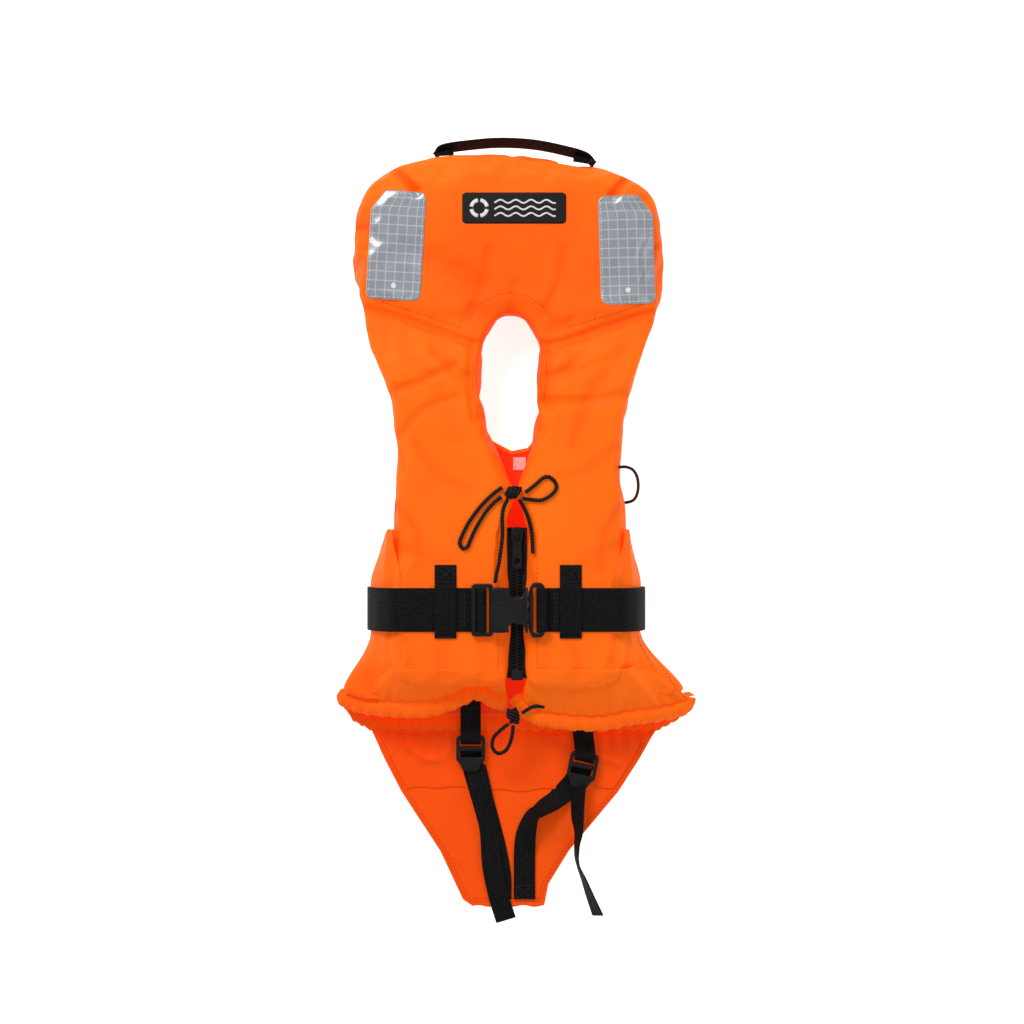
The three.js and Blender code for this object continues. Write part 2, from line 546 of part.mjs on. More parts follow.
add("neck_tail_left", cordTube([
  [-4, 102, ON_FRONT + 1], [-8.5, 90, ON_FRONT], [-8.8, 68, ON_FRONT], [-11.5, 46, ON_FRONT], [-14, 34, ON_FRONT],
  [-15.6, 25.5, ON_FRONT + 0.4],
], CORD_D, 20), BRAID);
add("neck_tail_right", cordTube([
  [6.5, 101.6, ON_FRONT - 0.4], [11.5, 93, ON_FRONT - 1.6], [15.6, 82, ON_FRONT - 2], [18, 70, ON_FRONT - 2],
  [19, 52, ON_FRONT - 1.6],
], CORD_D, 16), BRAID);

const HEM_TOP = HEM_Z + HEM_T;
const ON_HEM = HEM_TOP + GAP + CORD_D / 2;
add("hem_knot", knot(1, -97, ON_HEM + 2.4, 7, 9, 5), BRAID);
add("hem_loop", cordTube([
  [-3.5, -104.9, ON_HEM + 1.6], [-11, -111, ON_HEM - 1], [-17, -118, ON_HEM - 4], [-18, -127, ON_HEM - 7],
  [-13, -132.5, ON_HEM - 8.5], [-6, -130, ON_HEM - 8], [-1.5, -122, ON_HEM - 5], [0.5, -113, ON_HEM - 1.4],
  [1, -106.6, ON_HEM + 1.6],
], CORD_D, 26), BRAID);
add("hem_tail", cordTube([
  [9, -95, ON_HEM + 1], [15, -91, ON_HEM + 0.4], [22, -88.5, ON_HEM], [30, -89, ON_HEM],
], CORD_D, 10), BRAID);

// ---- whistle on its lanyard, tucked in behind the right front panel ----
add("whistle", join(
  plate(roundedRect(93.5, 106, 50, 92, 3, 2), BACK_T + GAP, BACK_T + GAP + 6.2),
  plate(roundedRect(96.5, 103, 90, 94.5, 2, 2), BACK_T + GAP + 1, BACK_T + GAP + 5)), MOULDED);
add("whistle_lanyard", cordTube([
  [97, 131, FRONT_TOP + 1.4], [104, 131.2, FRONT_TOP], [110.5, 128.5, 60], [114.6, 122, 53], [116, 114, 44],
  [115.4, 107, 34], [113, 101.8, 24], [109, 99.6, 16], [104, 98.6, 11], [100, 96.4, 9],
], LANYARD_D, 30), BRAID);

export default jacket;
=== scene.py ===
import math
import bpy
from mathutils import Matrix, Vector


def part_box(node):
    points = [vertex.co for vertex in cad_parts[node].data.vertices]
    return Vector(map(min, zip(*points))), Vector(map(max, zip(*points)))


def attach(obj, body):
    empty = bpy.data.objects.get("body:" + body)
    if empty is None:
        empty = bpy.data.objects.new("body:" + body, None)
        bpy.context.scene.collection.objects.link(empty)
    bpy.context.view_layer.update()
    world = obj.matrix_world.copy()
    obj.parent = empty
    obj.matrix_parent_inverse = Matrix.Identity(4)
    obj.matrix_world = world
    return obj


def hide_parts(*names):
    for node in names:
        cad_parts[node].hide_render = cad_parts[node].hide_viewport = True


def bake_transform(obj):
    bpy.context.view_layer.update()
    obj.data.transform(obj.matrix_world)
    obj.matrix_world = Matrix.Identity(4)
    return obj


bl_info = {
    "name": "Foam life jacket",
    "version": (1, 0, 0),
    "blender": (4, 5, 0),
    "location": "View3D > Sidebar > Life jacket",
    "description": "Builds a child's foam life jacket around its packed frame",
    "category": "Add Mesh",
}

import bmesh
import bpy
import numpy as np
from mathutils import Vector
from mathutils.bvhtree import BVHTree

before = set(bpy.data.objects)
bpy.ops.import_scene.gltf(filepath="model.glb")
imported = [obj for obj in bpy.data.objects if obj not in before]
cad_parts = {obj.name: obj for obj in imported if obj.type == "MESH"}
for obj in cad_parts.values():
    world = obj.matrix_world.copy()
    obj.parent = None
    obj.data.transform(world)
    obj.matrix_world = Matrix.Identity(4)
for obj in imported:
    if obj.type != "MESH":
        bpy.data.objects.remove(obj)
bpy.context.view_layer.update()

MM = 0.001  # every size below is in millimetres, and meshes are made in metres


def cad_box(node):
    """Lowest and highest corner of a frame node, in millimetres."""
    low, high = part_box(node)
    return np.array(low) / MM, np.array(high) / MM


FRONT_TOP = float(cad_box("left_front_cover")[1][2])
FRONT_LOW = float(cad_box("left_front_cover")[0][2])
COLLAR_TOP = float(cad_box("collar_cover")[1][2])
BELT_LOW, BELT_HIGH = (float(c[1]) for c in cad_box("belt_left"))
BELT_Y = (BELT_LOW + BELT_HIGH) / 2
ZIP_X = float(sum(c[0] for c in cad_box("zip_slider"))) / 2


# ---------------------------------------------------------------- settings
class JacketSizes(bpy.types.PropertyGroup):
    """Sizes that a maker would change without touching the frame."""

    weave_pitch: bpy.props.FloatProperty(
        name="Weave pitch", description="Distance between threads of the cover cloth",
        default=0.0007, unit="LENGTH")
    rib_pitch: bpy.props.FloatProperty(
        name="Webbing rib pitch", description="Distance between the ribs of the webbing",
        default=0.0021, unit="LENGTH")
    stitch_length: bpy.props.FloatProperty(
        name="Stitch length", description="Length of one topstitch", default=0.0034, unit="LENGTH")
    puff_pressure: bpy.props.FloatProperty(
        name="Puff", description="Pressure that fills the covers", default=4.0)


class JacketColours(bpy.types.PropertyGroup):
    """Colours of the cloth, the webbing and the moulded parts."""

    cover: bpy.props.FloatVectorProperty(
        name="Cover", description="Fluorescent orange of the covers", subtype="COLOR", size=3,
        default=(1.0, 0.128, 0.004))
    lining: bpy.props.FloatVectorProperty(
        name="Lining", description="Redder orange of the lining", subtype="COLOR", size=3,
        default=(1.0, 0.052, 0.012))
    webbing: bpy.props.FloatVectorProperty(
        name="Webbing", description="Black of the woven straps", subtype="COLOR", size=3,
        default=(0.0031, 0.0031, 0.0034))
    moulded: bpy.props.FloatVectorProperty(
        name="Moulded parts", description="Black of buckle, locks and zip", subtype="COLOR", size=3,
        default=(0.0040, 0.0040, 0.0044))


def sizes():
    return bpy.context.scene.jacket_sizes


def colours():
    return bpy.context.scene.jacket_colours


# ---------------------------------------------------------------- shapes
def make_object(name, verts, faces, uv=None, smooth=True):
    """Mesh object from millimetre points. uv holds one pair for each face corner."""
    mesh = bpy.data.meshes.new(name)
    mesh.from_pydata((np.asarray(verts, float) * MM).tolist(), [], [list(map(int, f)) for f in faces])
    if uv is not None:
        layer = mesh.uv_layers.new(name="UVMap")
        layer.data.foreach_set("uv", np.asarray(uv, np.float32).ravel())
    mesh.validate()
    obj = bpy.data.objects.new(name, mesh)
    bpy.context.collection.objects.link(obj)
    fix = bmesh.new()
    fix.from_mesh(mesh)
    bmesh.ops.recalc_face_normals(fix, faces=fix.faces)
    fix.to_mesh(mesh)
    fix.free()
    mesh.polygons.foreach_set("use_smooth", [smooth] * len(mesh.polygons))
    return obj


def loft(name, rings, u=None, v=None, smooth=True):
    """Closed body through rings of points, with flat ends. u runs along it and v round it."""
    rings = np.asarray(rings, float)
    n, m, _ = rings.shape
    u = np.arange(n) if u is None else np.asarray(u)
    v = np.arange(m + 1) if v is None else np.asarray(v)
    faces, uv = [], []
    for i in range(n - 1):
        for j in range(m):
            k = (j + 1) % m
            faces.append((i * m + j, i * m + k, (i + 1) * m + k, (i + 1) * m + j))
            uv += [(u[i], v[j]), (u[i], v[j + 1]), (u[i + 1], v[j + 1]), (u[i + 1], v[j])]
    faces.append(tuple(range(m)))
    uv += [(u[0], v[j]) for j in range(m)]
    faces.append(tuple(reversed([(n - 1) * m + j for j in range(m)])))
    uv += [(u[-1], v[j]) for j in reversed(range(m))]
    return make_object(name, rings.reshape(-1, 3), faces, uv, smooth)


def run_along(line):
    """Length run from the start of a line to each of its points."""
    return np.concatenate([[0], np.cumsum(np.linalg.norm(np.diff(line, axis=0), axis=1))])


def spline(points, step):
    """Points at an even step along a smooth curve through the given ones."""
    p = np.asarray(points, float)
    if len(p) == 2:
        fine = np.linspace(p[0], p[1], 50)
    else:
        pad = np.vstack([2 * p[0] - p[1], p, 2 * p[-1] - p[-2]])
        fine = []
        for i in range(1, len(pad) - 2):
            a, b, c, d = pad[i - 1], pad[i], pad[i + 1], pad[i + 2]
            for t in np.linspace(0, 1, 24, endpoint=False):
                fine.append(0.5 * (2 * b + (c - a) * t + (2 * a - 5 * b + 4 * c - d) * t * t
                                   + (3 * b - a - 3 * c + d) * t ** 3))
        fine.append(p[-1])
        fine = np.array(fine)
    return even(fine, step)


def even(line, step):
    """The same line with points at an even step."""
    line = np.asarray(line, float)
    run = run_along(line)
    count = max(2, int(round(run[-1] / step)) + 1)
    at = np.linspace(0, run[-1], count)
    return np.stack([np.interp(at, run, line[:, k]) for k in range(line.shape[1])], axis=1)


def rounded_line(points, radius, step):
    """A bent line whose corners are arcs of about the radius."""
    p = np.asarray(points, float)
    out = [p[0]]
    for a, b, c in zip(p[:-2], p[1:-1], p[2:]):
        cut = min(radius, np.linalg.norm(b - a) * 0.49, np.linalg.norm(c - b) * 0.49)
        p0 = b + (a - b) / np.linalg.norm(a - b) * cut
        p1 = b + (c - b) / np.linalg.norm(c - b) * cut
        for t in np.linspace(0, 1, 8):
            out.append((1 - t) ** 2 * p0 + 2 * t * (1 - t) * b + t * t * p1)
    out.append(p[-1])
    return even(out, step)


def directions(line):
    d = np.gradient(line, axis=0)
    return d / np.maximum(np.linalg.norm(d, axis=1), 1e-9)[:, None]


def unit(v):
    v = np.asarray(v, float)
    return v / np.maximum(np.linalg.norm(v, axis=-1, keepdims=True), 1e-9)


def webbing(name, line, across, width, thickness, ribs=0.09):
    """Woven strap along a line. across is the direction of its width, one or one for each point."""
    line = np.asarray(line, float)
    d = directions(line)
    across = np.broadcast_to(np.asarray(across, float), line.shape)
    across = unit(across - d * np.sum(across * d, axis=1, keepdims=True))
    up = np.cross(d, across)
    run = run_along(line)
    pitch = sizes().rib_pitch / MM
    half, thin = width / 2, thickness / 2
    warps = max(6, int(width / 1.6))
    xs = np.linspace(-half + thin, half - thin, warps)
    right_edge = [(half - thin * 0.3, thin * 0.7), (half, 0), (half - thin * 0.3, -thin * 0.7)]
    left_edge = [(-half + thin * 0.3, -thin * 0.7), (-half, 0), (-half + thin * 0.3, thin * 0.7)]
    face = [(x, thin) for x in xs]
    back = [(x, -thin) for x in xs[::-1]]
    ring = np.array(face + right_edge + back + left_edge)
    shift = np.array(([1] * warps + [0] * 3) * 2, float)
    width_run = run_along(np.vstack([ring, ring[:1]]))
    rings = []
    for i, p in enumerate(line):
        wave = np.cos(2 * np.pi * run[i] / pitch + np.arange(len(ring)) % 2 * np.pi)
        lift = ring[:, 1] + np.sign(ring[:, 1]) * shift * ribs * wave
        rings.append(p + ring[:, :1] * across[i] + lift[:, None] * up[i])
    return loft(name, rings, run, width_run)


def section_frames(line):
    """Directions across a line that turn as little as they can."""
    d = directions(line)
    ref = np.array([0, 0, 1.0]) if abs(d[0][2]) < 0.9 else np.array([1.0, 0, 0])
    a = unit(np.cross(d[0], ref))
    out = []
    for i in range(len(line)):
        a = unit(a - d[i] * np.dot(a, d[i]))
        out.append((a.copy(), np.cross(d[i], a)))
    return out


def braid(name, points, diameter, step=0.55, tails=0.0):
    """Braided cord with a relief of crossing strands. Returns the object and its centre line."""
    line = spline(points, step)
    frames = section_frames(line)
    run = run_along(line)
    around = 16
    angle = np.arange(around) * 2 * np.pi / around
    r0 = diameter / 2
    rings = []
    for i, p in enumerate(line):
        turn = run[i] * 2 * np.pi / (diameter * 1.7)
        relief = np.abs(np.cos(2 * angle + turn)) * np.abs(np.cos(2 * angle - turn))
        r = r0 * (0.86 + 0.26 * relief)
        if tails and (run[-1] - run[i]) < tails:
            r = r * (0.55 + 0.45 * math.sqrt((run[-1] - run[i]) / tails))
        a, b = frames[i]
        rings.append(p + (r * np.cos(angle))[:, None] * a + (r * np.sin(angle))[:, None] * b)
    obj = loft(name, rings, run, np.linspace(0, math.pi * diameter, around + 1))
    return obj, line


def tube(name, points, diameter, step=0.8, around=14):
    line = spline(points, step)
    frames = section_frames(line)
    angle = np.arange(around) * 2 * np.pi / around
    r = diameter / 2
    rings = [p + (r * np.cos(angle))[:, None] * a + (r * np.sin(angle))[:, None] * b
             for p, (a, b) in zip(line, frames)]
    run = np.arange(len(line)) * step
    return loft(name, rings, run, np.linspace(0, math.pi * diameter, around + 1)), line


def outline_area_sign(points):
    p = np.asarray(points, float)
    q = np.roll(p, -1, axis=0)
    return np.sign(np.sum(p[:, 0] * q[:, 1] - q[:, 0] * p[:, 1]))


def inset(points, amount):
    """Outline moved inwards by the amount."""
    p = np.asarray(points, float)
    before, after = np.roll(p, 1, axis=0), np.roll(p, -1, axis=0)
    d0, d1 = unit(p - before), unit(after - p)
    sign = outline_area_sign(p)
    n0 = np.stack([-d0[:, 1], d0[:, 0]], axis=1) * sign
    n1 = np.stack([-d1[:, 1], d1[:, 0]], axis=1) * sign
    n = unit(n0 + n1)
    mitre = 1 / np.maximum(np.sum(n * n0, axis=1), 0.6)
    return p + n * (amount * mitre)[:, None]


def rounded(points, radius, steps=5):
    """Closed outline whose corners are rounded."""
    p = np.asarray(points, float)
    n = len(p)
    radius = np.broadcast_to(np.asarray(radius, float), (n,))
    out = []
    for i in range(n):
        a, b, c = p[i - 1], p[i], p[(i + 1) % n]
        cut = min(radius[i], np.linalg.norm(b - a) * 0.49, np.linalg.norm(c - b) * 0.49)
        if cut < 0.05:
            out.append(b)
            continue
        p0 = b + (a - b) / np.linalg.norm(a - b) * cut
        p1 = b + (c - b) / np.linalg.norm(c - b) * cut
        for t in np.linspace(0, 1, steps):
            out.append((1 - t) ** 2 * p0 + 2 * t * (1 - t) * b + t * t * p1)
    return np.array(out)


def box_outline(x0, x1, y0, y1, radius=0.0):
    points = [(x0, y0), (x1, y0), (x1, y1), (x0, y1)]
    return rounded(points, radius) if radius else np.array(points, float)


def moulding(name, outline, holes, z0, z1, edge=0.5):
    """Flat moulded plate with holes through it and rounded edges."""
    curve = bpy.data.curves.new(name, "CURVE")
    curve.dimensions = "2D"
    curve.fill_mode = "BOTH"
    curve.bevel_depth = edge * MM
    curve.bevel_resolution = 2
    curve.offset = -edge * MM
    curve.extrude = ((z1 - z0) / 2 - edge) * MM
    for loop in [outline, *holes]:
        line = curve.splines.new("POLY")
        line.points.add(len(loop) - 1)
        line.use_cyclic_u = True
        for point, xy in zip(line.points, loop):
            point.co = (xy[0] * MM, xy[1] * MM, 0, 1)
    source = bpy.data.objects.new(name + "_curve", curve)
    bpy.context.collection.objects.link(source)
    bpy.context.view_layer.update()
    evaluated = source.evaluated_get(bpy.context.evaluated_depsgraph_get())
    mesh = bpy.data.meshes.new_from_object(evaluated)
    for vertex in mesh.vertices:
        vertex.co.z += (z0 + z1) / 2 * MM
    bpy.data.objects.remove(source)
    obj = bpy.data.objects.new(name, mesh)
    bpy.context.collection.objects.link(obj)
    weld = bmesh.new()
    weld.from_mesh(mesh)
    bmesh.ops.remove_doubles(weld, verts=weld.verts, dist=1e-6)
    bmesh.ops.recalc_face_normals(weld, faces=weld.faces)
    weld.to_mesh(mesh)
    weld.free()
    mesh.materials.clear()
    return obj


def merge(name, objects):
    """Joins objects into one piece that keeps the first one's materials."""
    for o in bpy.context.selected_objects:
        o.select_set(False)
    for o in objects:
        o.select_set(True)
    bpy.context.view_layer.objects.active = objects[0]
    bpy.ops.object.join()
    objects[0].name = name
    return objects[0]


def move(obj, x=0.0, y=0.0, z=0.0, turn=0.0):
    """Turns a mesh about Z and moves it, in millimetres."""
    c, s = math.cos(turn), math.sin(turn)
    co = coords(obj)
    co = np.stack([co[:, 0] * c - co[:, 1] * s + x, co[:, 0] * s + co[:, 1] * c + y, co[:, 2] + z], axis=1)
    set_coords(obj, co)
    return obj


def coords(obj):
    co = np.empty(len(obj.data.vertices) * 3)
    obj.data.vertices.foreach_get("co", co)
    return co.reshape(-1, 3) / MM


def set_coords(obj, co):
    obj.data.vertices.foreach_set("co", (np.asarray(co) * MM).ravel())
    obj.data.update()


def normals(obj):
    no = np.empty(len(obj.data.vertices) * 3)
    obj.data.vertices.foreach_get("normal", no)
    return no.reshape(-1, 3)


def apply_modifiers(obj):
    evaluated = obj.evaluated_get(bpy.context.evaluated_depsgraph_get())
    mesh = bpy.data.meshes.new_from_object(evaluated)
    old = obj.data
    obj.modifiers.clear()
    obj.data = mesh
    bpy.data.meshes.remove(old)
    return obj


# per-point painted shade, 0 lit to 1 deepest, that the cloth finish mixes into its colour
def shade_attribute(obj, values, name="shade"):
    attribute = obj.data.attributes.get(name) or obj.data.attributes.new(name, "FLOAT", "POINT")
    attribute.data.foreach_set("value", np.asarray(values, np.float32))


def even_shade(obj, value):
    shade_attribute(obj, np.full(len(obj.data.vertices), value))


def line_distance(xy, line):
    """Distance of points to an open bent line, all in X and Y."""
    best = np.full(len(xy), 1e9)
    for a, b in zip(line[:-1], line[1:]):
        a, b = np.array(a, float), np.array(b, float)
        t = np.clip((xy - a) @ (b - a) / max((b - a) @ (b - a), 1e-9), 0, 1)
        best = np.minimum(best, np.linalg.norm(xy - (a + t[:, None] * (b - a)), axis=1))
    return best


def smoothstep(a, b, x):
    t = np.clip((x - a) / (b - a), 0, 1)
    return t * t * (3 - 2 * t)


def bumps(p, scale, seed):
    """Smooth seeded unevenness from a few crossing waves, about -1 to 1."""
    rng = np.random.default_rng(seed)
    total = np.zeros(len(p))
    for _ in range(7):
        k = rng.normal(size=3)
        k = k / np.linalg.norm(k) * rng.uniform(0.6, 1.5) * 2 * np.pi / scale
        total += np.sin(p @ k + rng.uniform(0, 2 * np.pi))
    return total / 3.2


# ---------------------------------------------------------------- finishes
# colour sockets of the mix node, which share their names with its other kinds
MIX_FACTOR, MIX_A, MIX_B, MIX_COLOUR = 0, 6, 7, 2


def node_material(name):
    material = bpy.data.materials.new(name)
    material.use_nodes = True
    tree = material.node_tree
    shader = tree.nodes["Principled BSDF"]
    return material, tree, shader


def add_node(tree, kind, **values):
    node = tree.nodes.new(kind)
    for key, value in values.items():
        if key in node.inputs:
            node.inputs[key].default_value = value
        else:
            setattr(node, key, value)
    return node


def colour_ramp(tree, source, stops):
    ramp = tree.nodes.new("ShaderNodeValToRGB")
    elements = ramp.color_ramp.elements
    while len(elements) < len(stops):
        elements.new(0.5)
    for element, (at, colour) in zip(elements, stops):
        element.position = at
        element.color = (*colour, 1)
    tree.links.new(source, ramp.inputs["Fac"])
    return ramp.outputs["Color"]


def scaled(colour, k):
    return tuple(min(1.0, c * k) for c in colour)


def cloth_finish(name, colour, glow, rough=0.62, shade_tint=(0.88, 0.42, 0.35)):
    """Tightly woven coated nylon: fine threads, soft blotches, and painted shade from the shade attribute
    that deepens creases and other spots in colour.
    """
    material, tree, shader = node_material(name)
    links = tree.links
    where = add_node(tree, "ShaderNodeTexCoord")
    blotch = add_node(tree, "ShaderNodeTexNoise", Scale=9.0, Detail=3.0, Roughness=0.5)
    links.new(where.outputs["Object"], blotch.inputs["Vector"])
    light = tuple(min(1.0, c * k) for c, k in zip(colour, (1.0, 1.25, 1.3)))
    tone = colour_ramp(tree, blotch.outputs["Fac"], [(0.35, colour), (0.7, light)])
    # painted shade: the shade attribute mixes the colour towards the shade tint, redder and darker
    shade = add_node(tree, "ShaderNodeAttribute", attribute_name="shade")
    mix = add_node(tree, "ShaderNodeMix", data_type="RGBA", blend_type="MIX")
    links.new(shade.outputs["Fac"], mix.inputs[MIX_FACTOR])
    links.new(tone, mix.inputs[MIX_A])
    mix.inputs[MIX_B].default_value = (*[c * d for c, d in zip(colour, shade_tint)], 1)
    links.new(mix.outputs[MIX_COLOUR], shader.inputs["Base Color"])
    # painted glow: the cloth also emits its own colour, shade included, so it reads brighter than the lamps
    # alone make it, standing in for fluorescence
    links.new(mix.outputs[MIX_COLOUR], shader.inputs["Emission Color"])
    shader.inputs["Emission Strength"].default_value = glow
    pitch = sizes().weave_pitch
    height = None
    for axis in ("X", "Y", "Z"):
        wave = add_node(tree, "ShaderNodeTexWave", wave_type="BANDS", bands_direction=axis)
        wave.inputs["Scale"].default_value = 0.314 / pitch
        wave.inputs["Distortion"].default_value = 0.4
        wave.inputs["Detail"].default_value = 1.0
        links.new(where.outputs["Object"], wave.inputs["Vector"])
        if height is None:
            height = wave.outputs["Fac"]
        else:
            add = add_node(tree, "ShaderNodeMath", operation="ADD")
            links.new(height, add.inputs[0])
            links.new(wave.outputs["Fac"], add.inputs[1])
            height = add.outputs[0]
    weave = add_node(tree, "ShaderNodeBump")
    weave.inputs["Strength"].default_value = 0.25
    weave.inputs["Distance"].default_value = 0.00012
    links.new(height, weave.inputs["Height"])
    crumple = add_node(tree, "ShaderNodeTexNoise", Scale=45.0, Detail=5.0, Roughness=0.55)
    links.new(where.outputs["Object"], crumple.inputs["Vector"])
    soft = add_node(tree, "ShaderNodeBump")
    soft.inputs["Strength"].default_value = 0.35
    soft.inputs["Distance"].default_value = 0.0018
    links.new(crumple.outputs["Fac"], soft.inputs["Height"])
    links.new(weave.outputs["Normal"], soft.inputs["Normal"])
    links.new(soft.outputs["Normal"], shader.inputs["Normal"])
    shader.inputs["Roughness"].default_value = rough
    shader.inputs["Specular IOR Level"].default_value = 0.1
    return material


def webbing_finish(name, colour):
    """Ribbed polypropylene webbing with a twill of floats across each rib."""
    material, tree, shader = node_material(name)
    links = tree.links
    where = add_node(tree, "ShaderNodeUVMap")
    brick = add_node(tree, "ShaderNodeTexBrick", offset=0.5)
    brick.inputs["Scale"].default_value = 1.0
    brick.inputs["Mortar Size"].default_value = 0.3
    brick.inputs["Mortar Smooth"].default_value = 0.8
    brick.inputs["Brick Width"].default_value = 1.45 * sizes().rib_pitch / MM
    brick.inputs["Row Height"].default_value = 0.76 * sizes().rib_pitch / MM
    brick.inputs["Color1"].default_value = (*scaled(colour, 4.6), 1)
    brick.inputs["Color2"].default_value = (*scaled(colour, 2.4), 1)
    brick.inputs["Mortar"].default_value = (*scaled(colour, 0.2), 1)
    links.new(where.outputs["UV"], brick.inputs["Vector"])
    links.new(brick.outputs["Color"], shader.inputs["Base Color"])
    fuzz = add_node(tree, "ShaderNodeTexNoise", Scale=3.0, Detail=4.0)
    links.new(where.outputs["UV"], fuzz.inputs["Vector"])
    rough = add_node(tree, "ShaderNodeMapRange")
    rough.inputs["To Min"].default_value = 0.55
    rough.inputs["To Max"].default_value = 0.8
    links.new(fuzz.outputs["Fac"], rough.inputs["Value"])
    links.new(rough.outputs["Result"], shader.inputs["Roughness"])
    bump = add_node(tree, "ShaderNodeBump", invert=True)
    bump.inputs["Strength"].default_value = 1.0
    bump.inputs["Distance"].default_value = 0.0006
    links.new(brick.outputs["Fac"], bump.inputs["Height"])
    links.new(bump.outputs["Normal"], shader.inputs["Normal"])
    shader.inputs["Specular IOR Level"].default_value = 0.1
    return material


def braid_finish(name, colour):
    material, tree, shader = node_material(name)
    links = tree.links
    where = add_node(tree, "ShaderNodeUVMap")
    noise = add_node(tree, "ShaderNodeTexNoise", Scale=2.4, Detail=3.0)
    links.new(where.outputs["UV"], noise.inputs["Vector"])
    tone = colour_ramp(tree, noise.outputs["Fac"], [(0.3, scaled(colour, 0.7)), (0.75, scaled(colour, 2.2))])
    links.new(tone, shader.inputs["Base Color"])
    bump = add_node(tree, "ShaderNodeBump")
    bump.inputs["Strength"].default_value = 0.4
    bump.inputs["Distance"].default_value = 0.0002
    links.new(noise.outputs["Fac"], bump.inputs["Height"])
    links.new(bump.outputs["Normal"], shader.inputs["Normal"])
    shader.inputs["Roughness"].default_value = 0.6
    shader.inputs["Specular IOR Level"].default_value = 0.25
    return material


def moulded_finish(name, colour, rough=0.34):
    """Injection moulded acetal: fine spark texture, with patchy tone and roughness."""
    material, tree, shader = node_material(name)
    links = tree.links
    where = add_node(tree, "ShaderNodeTexCoord")
    grain = add_node(tree, "ShaderNodeTexNoise", Scale=1400.0, Detail=2.0)
    links.new(where.outputs["Object"], grain.inputs["Vector"])
    patchy = add_node(tree, "ShaderNodeTexNoise", Scale=60.0, Detail=4.0)
    links.new(where.outputs["Object"], patchy.inputs["Vector"])
    tone = colour_ramp(tree, patchy.outputs["Fac"], [(0.3, scaled(colour, 0.8)), (0.8, scaled(colour, 2.2))])
    links.new(tone, shader.inputs["Base Color"])
    spread = add_node(tree, "ShaderNodeMapRange")
    spread.inputs["To Min"].default_value = rough - 0.07
    spread.inputs["To Max"].default_value = rough + 0.12
    links.new(patchy.outputs["Fac"], spread.inputs["Value"])
    links.new(spread.outputs["Result"], shader.inputs["Roughness"])
    bump = add_node(tree, "ShaderNodeBump")
    bump.inputs["Strength"].default_value = 0.2
    bump.inputs["Distance"].default_value = 0.00008
    links.new(grain.outputs["Fac"], bump.inputs["Height"])
    links.new(bump.outputs["Normal"], shader.inputs["Normal"])
    shader.inputs["Specular IOR Level"].default_value = 0.3
    return material


def reflective_finish(name):
    """Prismatic film: a grid of sealed cells with tiny corner cubes between the welds."""
    material, tree, shader = node_material(name)
    links = tree.links
    where = add_node(tree, "ShaderNodeUVMap")
    grid = add_node(tree, "ShaderNodeTexBrick", offset=0.0)
    grid.inputs["Scale"].default_value = 1.0
    grid.inputs["Brick Width"].default_value = 8.6
    grid.inputs["Row Height"].default_value = 8.6
    grid.inputs["Mortar Size"].default_value = 0.5
    grid.inputs["Mortar Smooth"].default_value = 0.3
    grid.inputs["Color1"].default_value = (0.30, 0.32, 0.36, 1)
    grid.inputs["Color2"].default_value = (0.34, 0.36, 0.40, 1)
    grid.inputs["Mortar"].default_value = (0.56, 0.58, 0.62, 1)
    links.new(where.outputs["UV"], grid.inputs["Vector"])
    cell = add_node(tree, "ShaderNodeTexVoronoi", Scale=0.465, feature="F1", distance="CHEBYCHEV")
    cell.inputs["Randomness"].default_value = 0.0
    links.new(where.outputs["UV"], cell.inputs["Vector"])
    mix = add_node(tree, "ShaderNodeMix", data_type="RGBA", blend_type="SCREEN")
    mix.inputs[MIX_FACTOR].default_value = 0.12
    links.new(grid.outputs["Color"], mix.inputs[MIX_A])
    links.new(colour_ramp(tree, cell.outputs["Distance"], [(0.2, (0.0, 0.0, 0.0)), (0.5, (0.5, 0.5, 0.5))]),
              mix.inputs[MIX_B])
    links.new(mix.outputs[MIX_COLOUR], shader.inputs["Base Color"])
    bump = add_node(tree, "ShaderNodeBump")
    bump.inputs["Strength"].default_value = 0.5
    bump.inputs["Distance"].default_value = 0.0003
    links.new(grid.outputs["Fac"], bump.inputs["Height"])
    links.new(bump.outputs["Normal"], shader.inputs["Normal"])
    shader.inputs["Roughness"].default_value = 0.28
    shader.inputs["Metallic"].default_value = 0.25
    shader.inputs["Coat Weight"].default_value = 0.2
    shader.inputs["Coat Roughness"].default_value = 0.2
    return material


def plain_thread(name, colour, rough=0.6):
    material, tree, shader = node_material(name)
    where = add_node(tree, "ShaderNodeTexCoord")
    twist = add_node(tree, "ShaderNodeTexNoise", Scale=700.0, Detail=2.0)
    tree.links.new(where.outputs["Object"], twist.inputs["Vector"])
    tone = colour_ramp(tree, twist.outputs["Fac"], [(0.3, scaled(colour, 0.75)), (0.7, scaled(colour, 1.2))])
    tree.links.new(tone, shader.inputs["Base Color"])
    shader.inputs["Roughness"].default_value = rough
    shader.inputs["Specular IOR Level"].default_value = 0.2
    return material


FINISHES = {}


